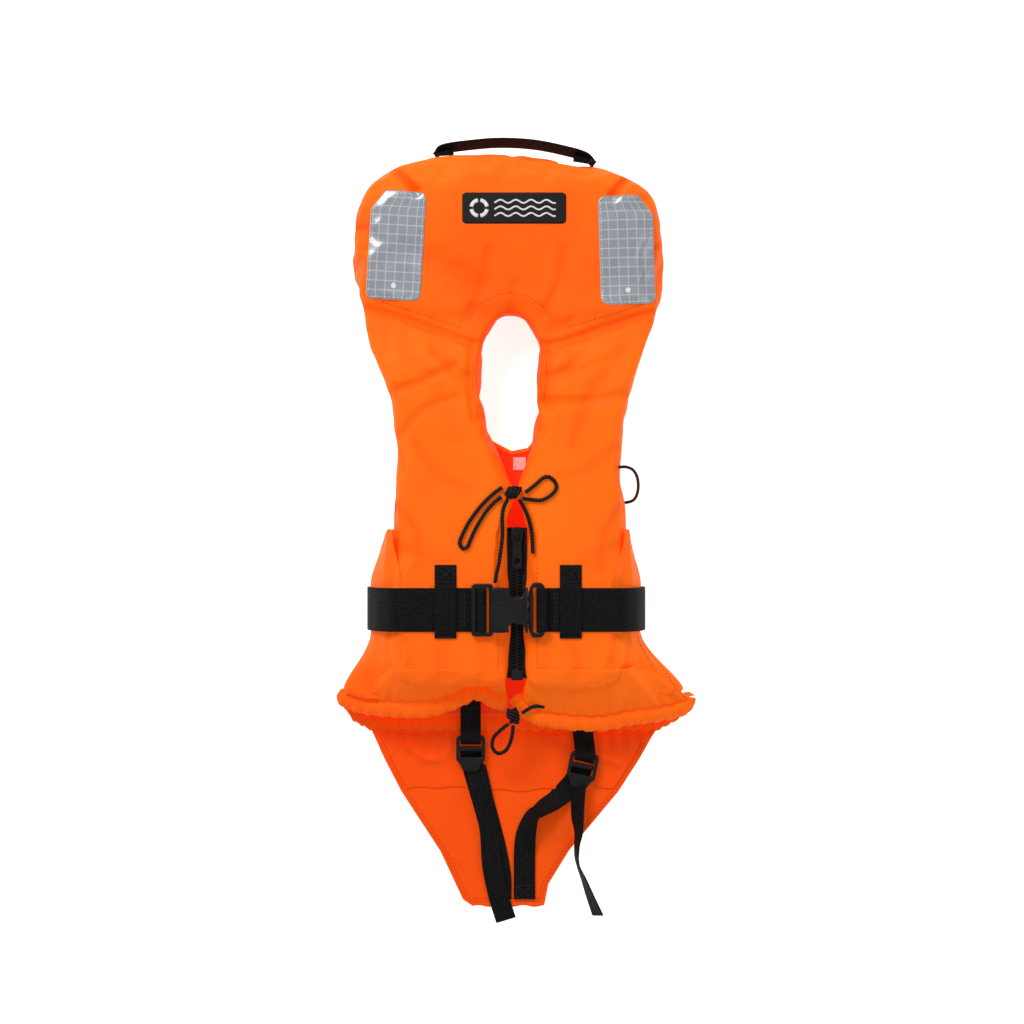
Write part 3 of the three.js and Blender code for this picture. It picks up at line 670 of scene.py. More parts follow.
def finish(slot):
    """The material of a record slot or of a detail, made once."""
    if slot not in FINISHES:
        c = colours()
        makers = {
            "cover_fabric": lambda: cloth_finish("orange_nylon", tuple(c.cover), 0.2),
            "lining_fabric": lambda: cloth_finish("orange_lining", tuple(c.lining), 0.16, 0.7),
            "foam": lambda: plain_thread("closed_cell_foam", (0.8, 0.77, 0.7), 0.9),
            "webbing": lambda: webbing_finish("black_webbing", tuple(c.webbing)),
            "cord": lambda: braid_finish("black_braid", tuple(c.webbing)),
            "moulded": lambda: moulded_finish("black_moulding", tuple(c.moulded)),
            "reflective": lambda: reflective_finish("prismatic_film"),
            "label": lambda: plain_thread("black_patch", (0.012, 0.009, 0.009), 0.5),
            "emblem": lambda: plain_thread("white_print", (0.85, 0.85, 0.85), 0.5),
            "paper_label": lambda: plain_thread("satin_label", (0.85, 0.78, 0.77), 0.6),
            "orange_thread": lambda: plain_thread("orange_thread", (0.75, 0.06, 0.008), 0.5),
            "black_thread": lambda: plain_thread("black_thread", (0.03, 0.03, 0.032), 0.5),
            "zip_tape": lambda: plain_thread("zip_tape_cloth", (0.014, 0.014, 0.015), 0.8),
        }
        FINISHES[slot] = makers[slot]()
    return FINISHES[slot]


def settle(obj, slot, body, *nodes, material=None):
    """Gives a piece its finish and its body, and hides the frame nodes that it stands for."""
    obj.data.materials.clear()
    obj.data.materials.append(finish(material or slot))
    if nodes:
        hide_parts(*nodes)
    if body:
        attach(obj, body)
    return obj


def topstitch(name, lines, material, body, width=0.55, lift=0.12):
    """Rows of single stitches along lines of (point, normal) pairs, as one piece."""
    long = sizes().stitch_length / MM
    verts, faces = [], []
    ring = np.arange(6) * np.pi / 3
    for line, up in lines:
        step = long * 1.22
        run = run_along(line)
        at = 0.4
        while at + long < run[-1]:
            s = at + long * np.array([0.0, 0.18, 0.5, 0.82, 1.0])
            p = np.stack([np.interp(s, run, line[:, k]) for k in range(3)], axis=1)
            n = unit(np.array([np.interp(s[2], run, up[:, k]) for k in range(3)]))
            d = unit(p[-1] - p[0])
            side = unit(np.cross(n, d))
            rise = np.array([-0.25, 0.12, 0.22, 0.12, -0.25]) + lift
            fat = np.array([0.5, 0.95, 1.0, 0.95, 0.5]) * width / 2
            base = len(verts)
            for q, h, r in zip(p, rise, fat):
                for a in ring:
                    verts.append(q + n * (h + r * math.sin(a) * 0.8) + side * r * math.cos(a))
            for i in range(4):
                for j in range(6):
                    k = (j + 1) % 6
                    near, far = base + i * 6, base + (i + 1) * 6
                    faces.append((near + j, near + k, far + k, far + j))
            faces.append(tuple(base + j for j in range(6)))
            faces.append(tuple(base + 24 + j for j in reversed(range(6))))
            at += step
    obj = make_object(name, verts, faces)
    obj.data.materials.append(finish(material))
    if body:
        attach(obj, body)
    return obj


def flat_lines(paths, z, step=1.0, up=(0, 0, 1)):
    """Stitch lines at one height, from bent lines in X and Y."""
    lines = []
    for path in paths:
        p = even([(x, y, z) for x, y in path], step)
        lines.append((p, np.broadcast_to(np.array(up, float), p.shape)))
    return lines


class Surface:
    """Drops points from above onto a finished mesh."""

    def __init__(self, obj):
        mesh = obj.data
        self.tree = BVHTree.FromPolygons([v.co for v in mesh.vertices],
                                         [tuple(p.vertices) for p in mesh.polygons])

    def drop(self, x, y, fallback=0.0, above=200.0):
        hit = self.tree.ray_cast(Vector((x * MM, y * MM, above * MM)), Vector((0, 0, -1)))
        if hit[0] is None:
            return fallback, np.array([0, 0, 1.0])
        return hit[0].z / MM, np.array(hit[1])

    def line(self, path, step):
        """Points of a path dropped onto the mesh, with the mesh's normals there."""
        points, ups = [], []
        for x, y in even(np.asarray(path, float), step):
            z, n = self.drop(x, y)
            points.append((x, y, z))
            ups.append(n)
        return np.array(points), np.array(ups)


SHARED = {}


# ---------------------------------------------------------------- outlines, in millimetres
HORSESHOE = [
    (-7, -66), (-60, -68), (-106, -62), (-113, -42), (-113, 30), (-112, 90), (-112, 150), (-117, 196),
    (-125, 226), (-134, 256), (-143, 300), (-146, 335), (-142, 372), (-128, 396), (-98, 413), (-55, 421),
    (0, 422), (50, 417), (97, 405), (124, 389), (137, 362), (138, 320), (133, 280), (124, 240), (113, 204),
    (107, 165), (106, 90), (107, 30), (107, -42), (101, -62), (60, -69), (17, -66), (14, -48), (14, 40),
    (12.5, 80), (5, 107), (12, 138), (19, 162), (24, 186), (26, 212), (25, 240), (20, 258), (9, 269),
    (-3, 271), (-15, 266), (-25, 252), (-29, 230), (-29, 204), (-25, 180), (-18, 158), (-7, 138), (0.5, 107),
    (-3.6, 80),
    (-5, 40), (-5, -48),
]
FOLD_LEFT = [(-140, 279), (-98, 267), (-39, 246), (-22, 243)]
FOLD_RIGHT = [(136, 276), (81, 258), (44, 246), (20, 243)]
CREASES = [  # line, depth, width
    (FOLD_LEFT, 1.8, 3.2), (FOLD_RIGHT, 1.8, 3.2),
    ([(-115, 198), (-84, 208), (-53, 224)], 1.7, 5), ([(-110, 158), (-103, 144), (-97, 128)], 1.7, 5),
    ([(30, 234), (50, 244), (68, 250)], 1.2, 4), ([(33, 214), (60, 220), (86, 229)], 1.5, 5),
    ([(30, 192), (66, 190), (103, 198)], 1.5, 5), ([(-48, 196), (-80, 184), (-104, 160)], 1.3, 5),
    ([(-37, 243), (-39, 214), (-36, 176)], 1.6, 3.2), ([(34, 243), (33, 214), (30, 188)], 1.6, 3.2),
    ([(-40, 268), (-26, 300), (-22, 330)], 1.3, 5), ([(30, 272), (44, 305), (48, 330)], 1.3, 5),
    ([(0, 276), (2, 300)], 1.0, 5), ([(-112, 408), (-98, 396), (-88, 384)], 5.0, 4),
    ([(112, 402), (100, 391), (92, 380)], 5.0, 4), ([(-146, 352), (-132, 350), (-124, 340)], 1.8, 4),
    ([(138, 336), (126, 332), (120, 318)], 1.8, 4), ([(-100, 240), (-70, 205), (-52, 160)], 1.2, 8),
    ([(98, 236), (74, 200), (56, 150)], 1.8, 8), ([(-88, 150), (-66, 124), (-40, 112)], 1.6, 6),
    ([(92, 148), (66, 128), (44, 124)], 1.6, 6), ([(-104, 96), (-86, 70), (-84, 40)], 1.8, 5),
    ([(98, 96), (84, 72), (80, 40)], 1.8, 5), ([(-70, 236), (-54, 218), (-40, 214)], 1.6, 5),
    ([(64, 234), (50, 220), (38, 214)], 1.6, 5), ([(-96, 330), (-60, 318), (-30, 300)], 1.4, 9),
    ([(-112, 60), (-84, 50), (-60, 48)], 1.2, 6),
    ([(106, 62), (84, 52), (66, 46)], 1.2, 6), ([(-60, -26), (-66, -44), (-64, -66)], 1.4, 6),
    ([(52, -26), (60, -46), (58, -68)], 1.4, 6), ([(-28, -28), (-24, -48), (-30, -66)], 1.0, 5),
    ([(30, -28), (28, -48), (32, -66)], 1.0, 5), ([(-100, -24), (-92, -44), (-96, -64)], 1.2, 5),
    ([(96, -24), (90, -44), (92, -64)], 1.2, 5),
]


def centre_height(y):
    """Middle height of the padded horseshoe: the collar lies on the floor, the front on the back."""
    front = (FRONT_LOW + FRONT_TOP) / 2
    collar = COLLAR_TOP / 2
    return front + (collar - front) * smoothstep(215.0, 300.0, y)


def slab(name, outline, thickness, voxel=4.0, rounds=14):
    """Even slab with a rounded rim, at height 0, in small even faces."""
    obj = make_object(name, *extruded(outline, -thickness / 2, thickness / 2))
    remesh = obj.modifiers.new("even", "REMESH")
    remesh.mode = "VOXEL"
    remesh.voxel_size = voxel * MM
    smooth = obj.modifiers.new("rim", "SMOOTH")
    smooth.factor = 0.5
    smooth.iterations = rounds
    return apply_modifiers(obj)


def extruded(outline, z0, z1):
    p = np.asarray(outline, float)
    n = len(p)
    verts = np.vstack([np.column_stack([p, np.full(n, z0)]), np.column_stack([p, np.full(n, z1)])])
    faces = [tuple(range(n)), tuple(reversed(range(n, 2 * n)))]
    faces += [(i, i + n, (i + 1) % n + n, (i + 1) % n) for i in range(n)]
    return verts, faces


def fill_with_air(obj, cap, pinned, pressure, slack=-0.02):
    """Cloth simulation that fills a cover. No point moves further than the cap, and seams stay put."""
    before = coords(obj)
    group = obj.vertex_groups.new(name="seams")
    for index in np.nonzero(pinned > 0.02)[0]:
        group.add([int(index)], float(min(1.0, pinned[index])), "REPLACE")
    cloth = obj.modifiers.new("fill", "CLOTH")
    settings = cloth.settings
    settings.quality = 5
    settings.mass = 0.2
    settings.use_pressure = True
    settings.uniform_pressure_force = pressure
    settings.shrink_min = slack
    settings.tension_stiffness = 18
    settings.compression_stiffness = 18
    settings.shear_stiffness = 6
    settings.bending_stiffness = 0.6
    settings.effector_weights.gravity = 0
    settings.vertex_group_mass = "seams"
    cloth.collision_settings.use_collision = False
    scene = bpy.context.scene
    for step in range(1, 21):
        scene.frame_set(step)
    evaluated = obj.evaluated_get(bpy.context.evaluated_depsgraph_get())
    mesh = evaluated.to_mesh()
    after = np.empty(len(mesh.vertices) * 3)
    mesh.vertices.foreach_get("co", after)
    after = after.reshape(-1, 3) / MM
    evaluated.to_mesh_clear()
    obj.modifiers.clear()
    scene.frame_set(1)
    shift = after - before
    length = np.linalg.norm(shift, axis=1, keepdims=True)
    set_coords(obj, before + shift * np.minimum(1.0, cap / np.maximum(length, 1e-6)))
    obj.vertex_groups.clear()


def refine(obj, levels=1):
    sub = obj.modifiers.new("fine", "SUBSURF")
    sub.levels = levels
    sub.render_levels = levels
    return apply_modifiers(obj)


def make_cover():
    outline = rounded(inset(HORSESHOE, 0.8), 9.0)
    obj = slab("foam_cover", outline, 48.0)
    co = coords(obj)
    co[:, 2] += centre_height(co[:, 1])
    set_coords(obj, co)
    pinned = np.zeros(len(co))
    for line in (FOLD_LEFT, FOLD_RIGHT):
        pinned = np.maximum(pinned, 1 - smoothstep(2.0, 7.0, line_distance(co[:, :2], line)))
    fill_with_air(obj, 6.0, pinned * 0.9, sizes().puff_pressure)
    refine(obj)
    co, no = coords(obj), normals(obj)
    face_up = smoothstep(0.1, 0.7, np.abs(no[:, 2]))
    # painted shade: each crease is darkened in step with its depth, besides being dented
    shade = np.zeros(len(co))
    for line, depth, width in CREASES:
        near = np.exp(-(line_distance(co[:, :2], line) / width) ** 2)
        co[:, 2] -= np.sign(no[:, 2]) * face_up * near * depth * 1.6
        shade = np.maximum(shade, np.minimum(0.4, 0.15 * depth) * near)
    co += no * (1.0 * bumps(co, 75.0, 3) + 0.4 * bumps(co, 26.0, 5))[:, None]
    top_limit = FRONT_TOP - 0.1 + 3.1 * smoothstep(132.0, 180.0, co[:, 1])
    top_limit += (COLLAR_TOP - FRONT_TOP) * smoothstep(240.0, 300.0, co[:, 1])
    co[:, 2] = np.minimum(co[:, 2], top_limit)
    low_limit = FRONT_LOW + (0.3 - FRONT_LOW) * smoothstep(215.0, 285.0, co[:, 1])
    co[:, 2] = np.maximum(co[:, 2], low_limit)
    set_coords(obj, co)
    # more painted shade: along the neck hole's rim, a soft falloff across the middle of the collar where
    # light leaves its rounded form, and on the sides and underside that turn away from the light
    hole = np.array([(-26, 250), (-29, 210), (-20, 160), (-4, 110), (0, 110), (16, 160), (25, 210), (22, 250),
                     (-3, 271)], float)
    rim = np.exp(-(line_distance(co[:, :2], hole) / 7.0) ** 2)
    collar_falloff_shade = 0.3 * smoothstep(398.0, 350.0, co[:, 1]) * smoothstep(232.0, 275.0, co[:, 1])
    shade_attribute(obj, np.clip(shade + 0.25 * rim + collar_falloff_shade + 0.35 * smoothstep(0.55, -0.6, no[:, 2]), 0, 1))
    SHARED["cover"] = Surface(obj)
    settle(obj, "cover_fabric", None, "collar_cover", "left_front_cover", "right_front_cover")
    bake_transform(obj)
    return obj


FOAM_BLOCKS = {
    "collar": ("collar", [(-24, 262), (-98, 290), (-128, 300), (-134, 345), (-126, 376), (-92, 402), (0, 410),
                          (90, 396), (120, 376), (127, 345), (124, 300), (81, 282), (22, 262), (14, 280),
                          (-2, 284), (-16, 280)]),
    "left_front": ("jacket", [(-20, -54), (-98, -52), (-101, 30), (-101, 150), (-116, 232), (-42, 214),
                              (-41, 190), (-30, 156), (-14, 110), (-18, 60)]),
    "right_front": ("jacket", [(28, -54), (26, 60), (20, 110), (28, 150), (37, 190), (38, 214), (108, 232),
                               (95, 150), (94, 30), (92, -52)]),
}


def make_foam():
    for name, (body, outline) in FOAM_BLOCKS.items():
        obj = slab(f"{name}_foam_block", rounded(outline, 6.0), 34.0, voxel=6.0, rounds=3)
        co = coords(obj)
        height = COLLAR_TOP / 2 if name == "collar" else (FRONT_LOW + FRONT_TOP) / 2
        co[:, 2] += height + 0.3 * bumps(co, 30.0, 11)
        set_coords(obj, co)
        settle(obj, "foam", body, f"{name}_foam")


# ---------------------------------------------------------------- thin cloth
def cloth_grid(name, place, nu, nv, thickness):
    """Thin closed sheet. place maps grids of u and v, 0 to 1, to points."""
    u, v = np.meshgrid(np.linspace(0, 1, nu), np.linspace(0, 1, nv), indexing="ij")
    top = np.stack(place(u, v), axis=-1)
    du, dv = np.gradient(top, axis=0), np.gradient(top, axis=1)
    n = unit(np.cross(du, dv))
    low = top - n * thickness
    count = nu * nv
    verts = np.vstack([top.reshape(-1, 3), low.reshape(-1, 3)])
    index = np.arange(count).reshape(nu, nv)
    run_u = run_along(top[:, nv // 2])
    run_v = run_along(top[nu // 2])
    faces, uv = [], []
    for i in range(nu - 1):
        for j in range(nv - 1):
            a, b, c, d = index[i, j], index[i + 1, j], index[i + 1, j + 1], index[i, j + 1]
            corner = [(run_u[i], run_v[j]), (run_u[i + 1], run_v[j]), (run_u[i + 1], run_v[j + 1]),
                      (run_u[i], run_v[j + 1])]
            faces.append((a, b, c, d))
            uv += corner
            faces.append((d + count, c + count, b + count, a + count))
            uv += corner[::-1]
    edge = [(index[i, 0], index[i + 1, 0]) for i in range(nu - 1)]
    edge += [(index[-1, j], index[-1, j + 1]) for j in range(nv - 1)]
    edge += [(index[i + 1, -1], index[i, -1]) for i in reversed(range(nu - 1))]
    edge += [(index[0, j + 1], index[0, j]) for j in reversed(range(nv - 1))]
    for a, b in edge:
        faces.append((b, a, a + count, b + count))
        uv += [(0, 0)] * 4
    return make_object(name, verts, faces, uv)


def along(points, at):
    """Value of a piecewise smooth line at places along it."""
    xs, ys = zip(*points)
    return np.interp(at, xs, ys)


LINING_TOP = [
    (-110, 196), (-48, 196), (-34, 172), (-19, 156), (0, 147), (16, 150), (30, 166), (45, 196), (104, 196),
]
LINING_Z = 4.9


def drawn_in(x, y):
    """X of a lining point, drawn in towards the shoulders."""
    return (x + 3) * (1 - 0.12 * smoothstep(80, 196, y)) - 3


def make_back_panel():
    def place(u, v):
        flat_x = -110 + 214 * u
        y = -97 + (along(LINING_TOP, flat_x) + 97) * v
        x = drawn_in(flat_x, y)
        z = LINING_Z + 0.25 * bumps(np.stack([x, y, 0 * x], -1).reshape(-1, 3), 40.0, 21).reshape(x.shape)
        return x, y, z

    obj = cloth_grid("back_lining", place, 110, 120, 0.9)
    settle(obj, "lining_fabric", "jacket", "back_panel")
    edge = [(x, along(LINING_TOP, x) - 2.5) for x in np.linspace(-46, 43, 60)]
    binding = [(drawn_in(x, y), y, LINING_Z) for x, y in edge]
    trim, _ = tube("neckline_binding", binding, 3.0, 1.5)
    settle(trim, "cover_fabric", "jacket")
    for name in ("left", "right"):
        low, high = cad_box(f"{name}_shoulder_seam")

        def fold(u, v, low=low, high=high):
            x = low[0] + (high[0] - low[0]) * u
            y = low[1] + (high[1] - low[1]) * v
            rise = 0.5 + 0.5 * np.sin(v * np.pi * 2 - 0.5 * np.pi)
            z = low[2] + (high[2] - low[2]) * rise + 0.2 * np.sin(x)
            return x, y, z

        settle(cloth_grid(f"{name}_shoulder_fold", fold, 30, 24, 1.2), "cover_fabric", "jacket",
               f"{name}_shoulder_seam")


def make_care_label():
    low, high = cad_box("care_label")

    def place(u, v):
        x = low[0] + (high[0] - low[0]) * u
        y = low[1] + (high[1] - low[1]) * v
        return x, y, low[2] + 0.7 + 0.5 * np.sin(u * 3.0) + 0.3 * v

    obj = cloth_grid("care_tag", place, 14, 14, 0.35)
    settle(obj, "paper_label", "jacket", "care_label")


SIDES = {  # outward reach at the armhole, the belt and the hem
    "left": (-1, -113.0, 6.0, 17.0, 43.5),
    "right": (1, 107.0, 3.0, 12.0, 54.0),
}


def side_reach(side, y):
    _, _, top, waist, hem = SIDES[side]
    low = waist + (hem - waist) * smoothstep(-20.0, -84.0, y) ** 0.9
    high = top + (waist - top) * smoothstep(66.0, 22.0, y)
    high = high * np.sqrt(np.clip((74.2 - y) / 16.0, 0.0, 1.0))
    low = low * np.sqrt(np.clip(1 - (np.clip(-72.0 - y, 0, 11) / 12.0) ** 2, 0, 1))
    return np.where(y > 22, high, np.where(y < -20, low, waist))


def make_side(side):
    sign, edge, *_ = SIDES[side]
    bow_x = [0.0, 0.30, 0.66, 0.90, 1.0, 0.94, 0.72, 0.42, 0.10, 0.0]
    bow_z = [5.4, 3.6, 3.8, 9.0, 18.0, 27.0, 36.0, 45.0, 53.5, 59.0]
    t = np.linspace(0, 1, len(bow_x))

    def place(u, v):
        y = 74 - 156 * v
        reach = side_reach(side, y)
        below = smoothstep(-22.0, -60.0, y)
        fold = np.sin(u * 15.0 + 2.0 * np.sin(v * 7.0)) * (0.7 + 1.9 * below * smoothstep(0, 0.2, u))
        fold = fold + np.sin(u * 33.0 + v * 5.0) * 0.5 * below
        calm = smoothstep(12.0, 30.0, np.abs(y - BELT_Y)) * smoothstep(-84.0, -64.0, y)
        cover_over = 4.5 + 7.0 * smoothstep(70.0, 30.0, y) - 24.0 * smoothstep(-48.0, -80.0, y)
        tucked = 3.6 * smoothstep(0.12, 0.0, u) + cover_over * np.clip((u - 0.86) / 0.14, 0, 1)
        x = edge + sign * (0.4 - tucked + np.interp(u, t, bow_x) * reach
                           + fold * 0.5 * calm * smoothstep(0, 0.2, u) * smoothstep(1.0, 0.85, u))
        z = np.interp(u, t, bow_z) * (1 - 0.1 * below * (1 - u))
        z = z + fold * 0.55 * calm * smoothstep(1.0, 0.85, u)
        z = z * (1 - 0.5 * smoothstep(-44.0, -80.0, y) * smoothstep(0.55, 1.0, u))
        over = (u > 0.86) & (y > -60)
        z[over] = [min(max(h, SHARED["cover"].drop(a, b)[0] + 0.35), h + 4.5)
                   for a, b, h in zip(x[over], y[over], z[over])]
        return x, y, np.maximum(z, 1.9)

    obj = cloth_grid(f"{side}_side_cloth", place, 70, 110, 0.7)
    settle(obj, "cover_fabric", "jacket", f"{side}_side_panel")
    co = coords(obj)
    shade_attribute(obj, 0.2 * smoothstep(50.0, 20.0, co[:, 2]))
    lines = []
    for share in (0.42, 0.52):
        v = np.linspace(0.62, 0.985, 60)
        u = np.full_like(v, share + 0.18)
        x, y, z = place(u, v)
        line = np.stack([x, y, z], -1)
        lines.append((line, np.broadcast_to(unit([sign * 0.5, 0, 0.85]), line.shape)))
    topstitch(f"{side}_side_stitches", lines, "orange_thread", "jacket")


FRONT_HEM = {
    "left": [(-4, -84), (-13, -84), (-25, -77), (-37, -75), (-51, -82), (-75, -90), (-99, -91), (-130, -89),
             (-148, -85), (-156, -80), (-158, -74)],
    "right": [(4, -78), (10, -88), (21, -97), (40, -101), (62, -103), (84, -103), (108, -98), (135, -95),
              (154, -91), (163, -84), (163, -77)],
}


def make_front_hem(side):
    """Gathered casing: a fat soft tube with ruffles, and the skirt cloth above it."""
    sign = -1 if side == "left" else 1
    line = spline([(x, y, 0) for x, y in FRONT_HEM[side]], 1.0)
    n = len(line)
    run = np.arange(n) * 1.0
    total = run[-1]
    share = run / total
    out_z = 31.0 - 17.0 * smoothstep(0.62, 1.0, share)
    rng = np.random.default_rng(7 if sign < 0 else 8)
    loose = np.convolve(rng.uniform(0.2, 1.8, n), np.ones(9) / 9, "same")
    phase = np.cumsum(loose) * 2 * np.pi / 13.0
    small = np.cumsum(loose[::-1]) * 2 * np.pi / 5.5
    d = directions(line)
    across = np.stack([-d[:, 1], d[:, 0], 0 * d[:, 0]], axis=1)
    across *= np.sign(across[:, 1:2] + 1e-9)
    m = 34
    rings = []
    for i in range(n):
        a = np.arange(m) * 2 * np.pi / m
        taper = min(1.0, (total - run[i]) / 9.0 + 0.25) * min(1.0, run[i] / 4.0 + 0.4)
        half_w, half_h = 8.8 * taper, 5.4 * taper
        gather = 0.75 * np.sin(phase[i] + 0.5 * np.sin(a)) + 0.4 * np.sin(small[i] + a)
        outer = smoothstep(-0.2, 0.9, -np.cos(a))
        top = np.sin(a) > 0
        w = np.cos(a) * (half_w + gather * 0.8 * outer)
        h = np.sin(a) * (half_h + gather * (0.6 + 0.5 * outer))
        pinch = 1.6 * np.exp(-((np.cos(a) * half_w - 3.5) / 1.2) ** 2) * top
        h = h - pinch
        rings.append(line[i] + across[i] * w[:, None] + np.array([0, 0, 1.0]) * (out_z[i] + h)[:, None])
    casing = loft(f"front_hem_casing_{side}", rings, run, np.arange(m + 1) * 1.6)
    settle(casing, "cover_fabric", "jacket", f"front_hem_{side}")
    even_shade(casing, 0.2)
    edge_x, edge_y = line[:, 0], line[:, 1]

    def place(u, v):
        i = np.clip((u * (n - 1)).astype(int), 0, n - 1)
        x1, y1 = edge_x[i], edge_y[i] + 6.0 - 10.0 * smoothstep(0.9, 1.0, u)
        x1 = np.maximum(x1, 11.0) if sign > 0 else np.minimum(x1, -5.0)
        x0 = np.clip(x1, -103.0, 97.0)
        x0 = x0 + 0.35 * (x1 - x0)
        x0 = np.minimum(x0, -8.0) if sign < 0 else np.maximum(x0, 17.5)
        y0 = -53.0 + 4.0 * smoothstep(0.62, 1.0, u)
        z1 = out_z[i] + 4.6
        z0 = 59.5 - 20.0 * smoothstep(0.68, 0.92, u)
        w = v ** 0.85
        pucker = np.sin(phase[i]) * 0.9 * smoothstep(0.4, 1.0, v)
        pucker = pucker + np.sin(phase[i] * 0.43) * 1.2 * v * (1 - v) * 4
        x = x0 + (x1 - x0) * w
        y = y0 + (y1 - y0) * w
        z = z0 + (z1 - z0) * w + 4.0 * np.sin(np.pi * v) * (1 - 0.5 * v) + pucker
        near = v < 0.6
        z[near] = [max(h, SHARED["cover"].drop(a, b)[0] + 0.45) for a, b, h in zip(x[near], y[near], z[near])]
        return x, y, z

    skirt = cloth_grid(f"front_skirt_{side}", place, 150, 26, 0.7)
    settle(skirt, "cover_fabric", "jacket")
    shade_attribute(skirt, 0.2 * smoothstep(50.0, 20.0, coords(skirt)[:, 2]))


BACK_HEM_LOW = [(-157, -92), (-148, -105), (-128, -115.5), (0, -116), (132, -115.5), (149, -107), (165, -97)]


def make_back_hem():
    """Skirt cloth of the back with its casing, flat on the floor."""
    def place(u, v):
        x = -157 + 322 * u
        low = along(BACK_HEM_LOW, x)
        high = -81.0 + 10.0 * smoothstep(104.0, 120.0, np.abs(x)) * smoothstep(154.0, 138.0, np.abs(x))
        y = low + (high - low) * v
        crest = np.sin(np.pi * np.clip((y - low) / 13.0, 0, 1))
        gather = np.sin(x * 2 * np.pi / 8.7 + 1.3 * np.sin(x / 11.0)) + 0.5 * np.sin(x * 2 * np.pi / 4.1)
        z = 1.5 + 2.5 * crest ** 0.7 + 0.5 * gather * (0.3 + 0.7 * crest)
        z = z + 3.0 * smoothstep(120.0, 158.0, np.abs(x)) * smoothstep(0.0, 1.0, v)
        return x, y + 0.7 * gather * smoothstep(0.12, 0.0, v), np.maximum(z, 1.0)

    obj = cloth_grid("back_hem_cloth", place, 260, 36, 0.9)
    settle(obj, "cover_fabric", "jacket", "back_hem")
    even_shade(obj, 0.65)


FLAP_LEFT = [(-278, -36), (-271, -46), (-226, -67), (-171, -103), (-140, -119), (-113, -131)]
FLAP_RIGHT = [(-278, 30), (-257, 34), (-226, 53), (-171, 99), (-140, 119), (-113, 134)]


def flap_extent(y):
    return along(FLAP_LEFT, y), along(FLAP_RIGHT, y)


FLAP_ROLLS = [  # line, height, width
    ([(-96, -128), (-82, -140), (-70, -141)], 2.4, 4.0), ([(86, -139), (98, -144)], 2.2, 4.0),
    ([(-60, -165), (-58, -200), (-50, -232)], 1.0, 7.0), ([(40, -180), (44, -210)], 0.9, 6.0),
]
UNDER_STRAPS = [
    [(-38, -118), (-24, -190), (-10, -271)],
    [(65, -120), (64, -150), (20, -192), (12, -271)],
]


def flap_height(x, y):
    """Height of the flap cloth: puckers at the hem, soft rolls, and flat under the straps."""
    flat = np.stack([x, y], -1).reshape(-1, 2)
    p = np.stack([x, y, 0 * x], -1).reshape(-1, 3)
    near_hem = smoothstep(-150.0, -114.0, y)
    pucker = (1.0 + np.sin(x * 2 * np.pi / 13.0 + 1.5 * np.sin(y / 9.0))) * near_hem
    rolls = 0.35 * (1 + bumps(p, 60.0, 31).reshape(x.shape))
    for line, lift, width in FLAP_ROLLS:
        rolls = rolls + lift * np.exp(-(line_distance(flat, line) / width) ** 2).reshape(x.shape)
    pressed = sum(np.exp(-(line_distance(flat, line) / 13.0) ** 4) for line in UNDER_STRAPS)
    calm = 1 - np.clip(pressed.reshape(x.shape), 0, 1)
    return 1.9 + (pucker + rolls) * calm + 0.5 * (1 - calm)


def make_seat_flap():
    def place(u, v):
        y = -277.5 + 164.7 * v
        left, right = flap_extent(y)
        x = left + (right - left) * u
        return x, y + 0.8 * np.sin(u * 20) * smoothstep(0.1, 0.0, v), flap_height(x, y)

    obj = cloth_grid("seat_flap_cloth", place, 190, 130, 1.3)
    settle(obj, "cover_fabric", "flap", "seat_flap")
    co = coords(obj)
    shade_attribute(obj, 0.65 + 0.3 * smoothstep(-128.0, -114.0, co[:, 1]))

    def facing(u, v):
        y_low = -168.5 + 1.7 * np.sin(u * 9.0) + 0.9 * np.sin(u * 31.0)
        y = y_low + (-117.0 - y_low) * v
        left, right = flap_extent(y)
        x = (left + 6) + (right - left - 12) * u
        return x, y, flap_height(x, y) + 0.75

    layer = cloth_grid("seat_flap_facing", facing, 150, 40, 0.7)
    settle(layer, "cover_fabric", "flap")
    shade_attribute(layer, 0.75 + 0.2 * smoothstep(-140.0, -114.0, coords(layer)[:, 1]))
    lines = []
    for side in (0, 1):
        for off in (3.2, 6.0):
            ys = np.linspace(-272, -122, 120)
            xs = np.array([flap_extent(y)[side] for y in ys]) + (off if side == 0 else -off)
            zs = flap_height(xs, ys) + 0.05 + 0.75 * (ys > -166)
            p = np.stack([xs, ys, zs], -1)
            lines.append((p, np.broadcast_to(np.array([0, 0, 1.0]), p.shape)))
    for y0 in (-270.5, -273.0):
        xs = np.linspace(-40, 30, 60)
        p = np.stack([xs, np.full_like(xs, y0), flap_height(xs, np.full_like(xs, y0)) + 0.05], -1)
        lines.append((p, np.broadcast_to(np.array([0, 0, 1.0]), p.shape)))
    topstitch("seat_flap_stitches", lines, "orange_thread", "flap")


# ---------------------------------------------------------------- webbing
BELT_Z = FRONT_TOP + 1.05
BELT_T = 1.5
STRAP_W = 20.0


def belt_line(points):
    return rounded_line([(x, BELT_Y, z) for x, z in points], 7.0, 0.7)


def box_stitch(x0, x1, y0, y1):
    return [[(x0, y0), (x1, y0), (x1, y1), (x0, y1), (x0, y0)], [(x0, y0), (x1, y1)], [(x0, y1), (x1, y0)]]


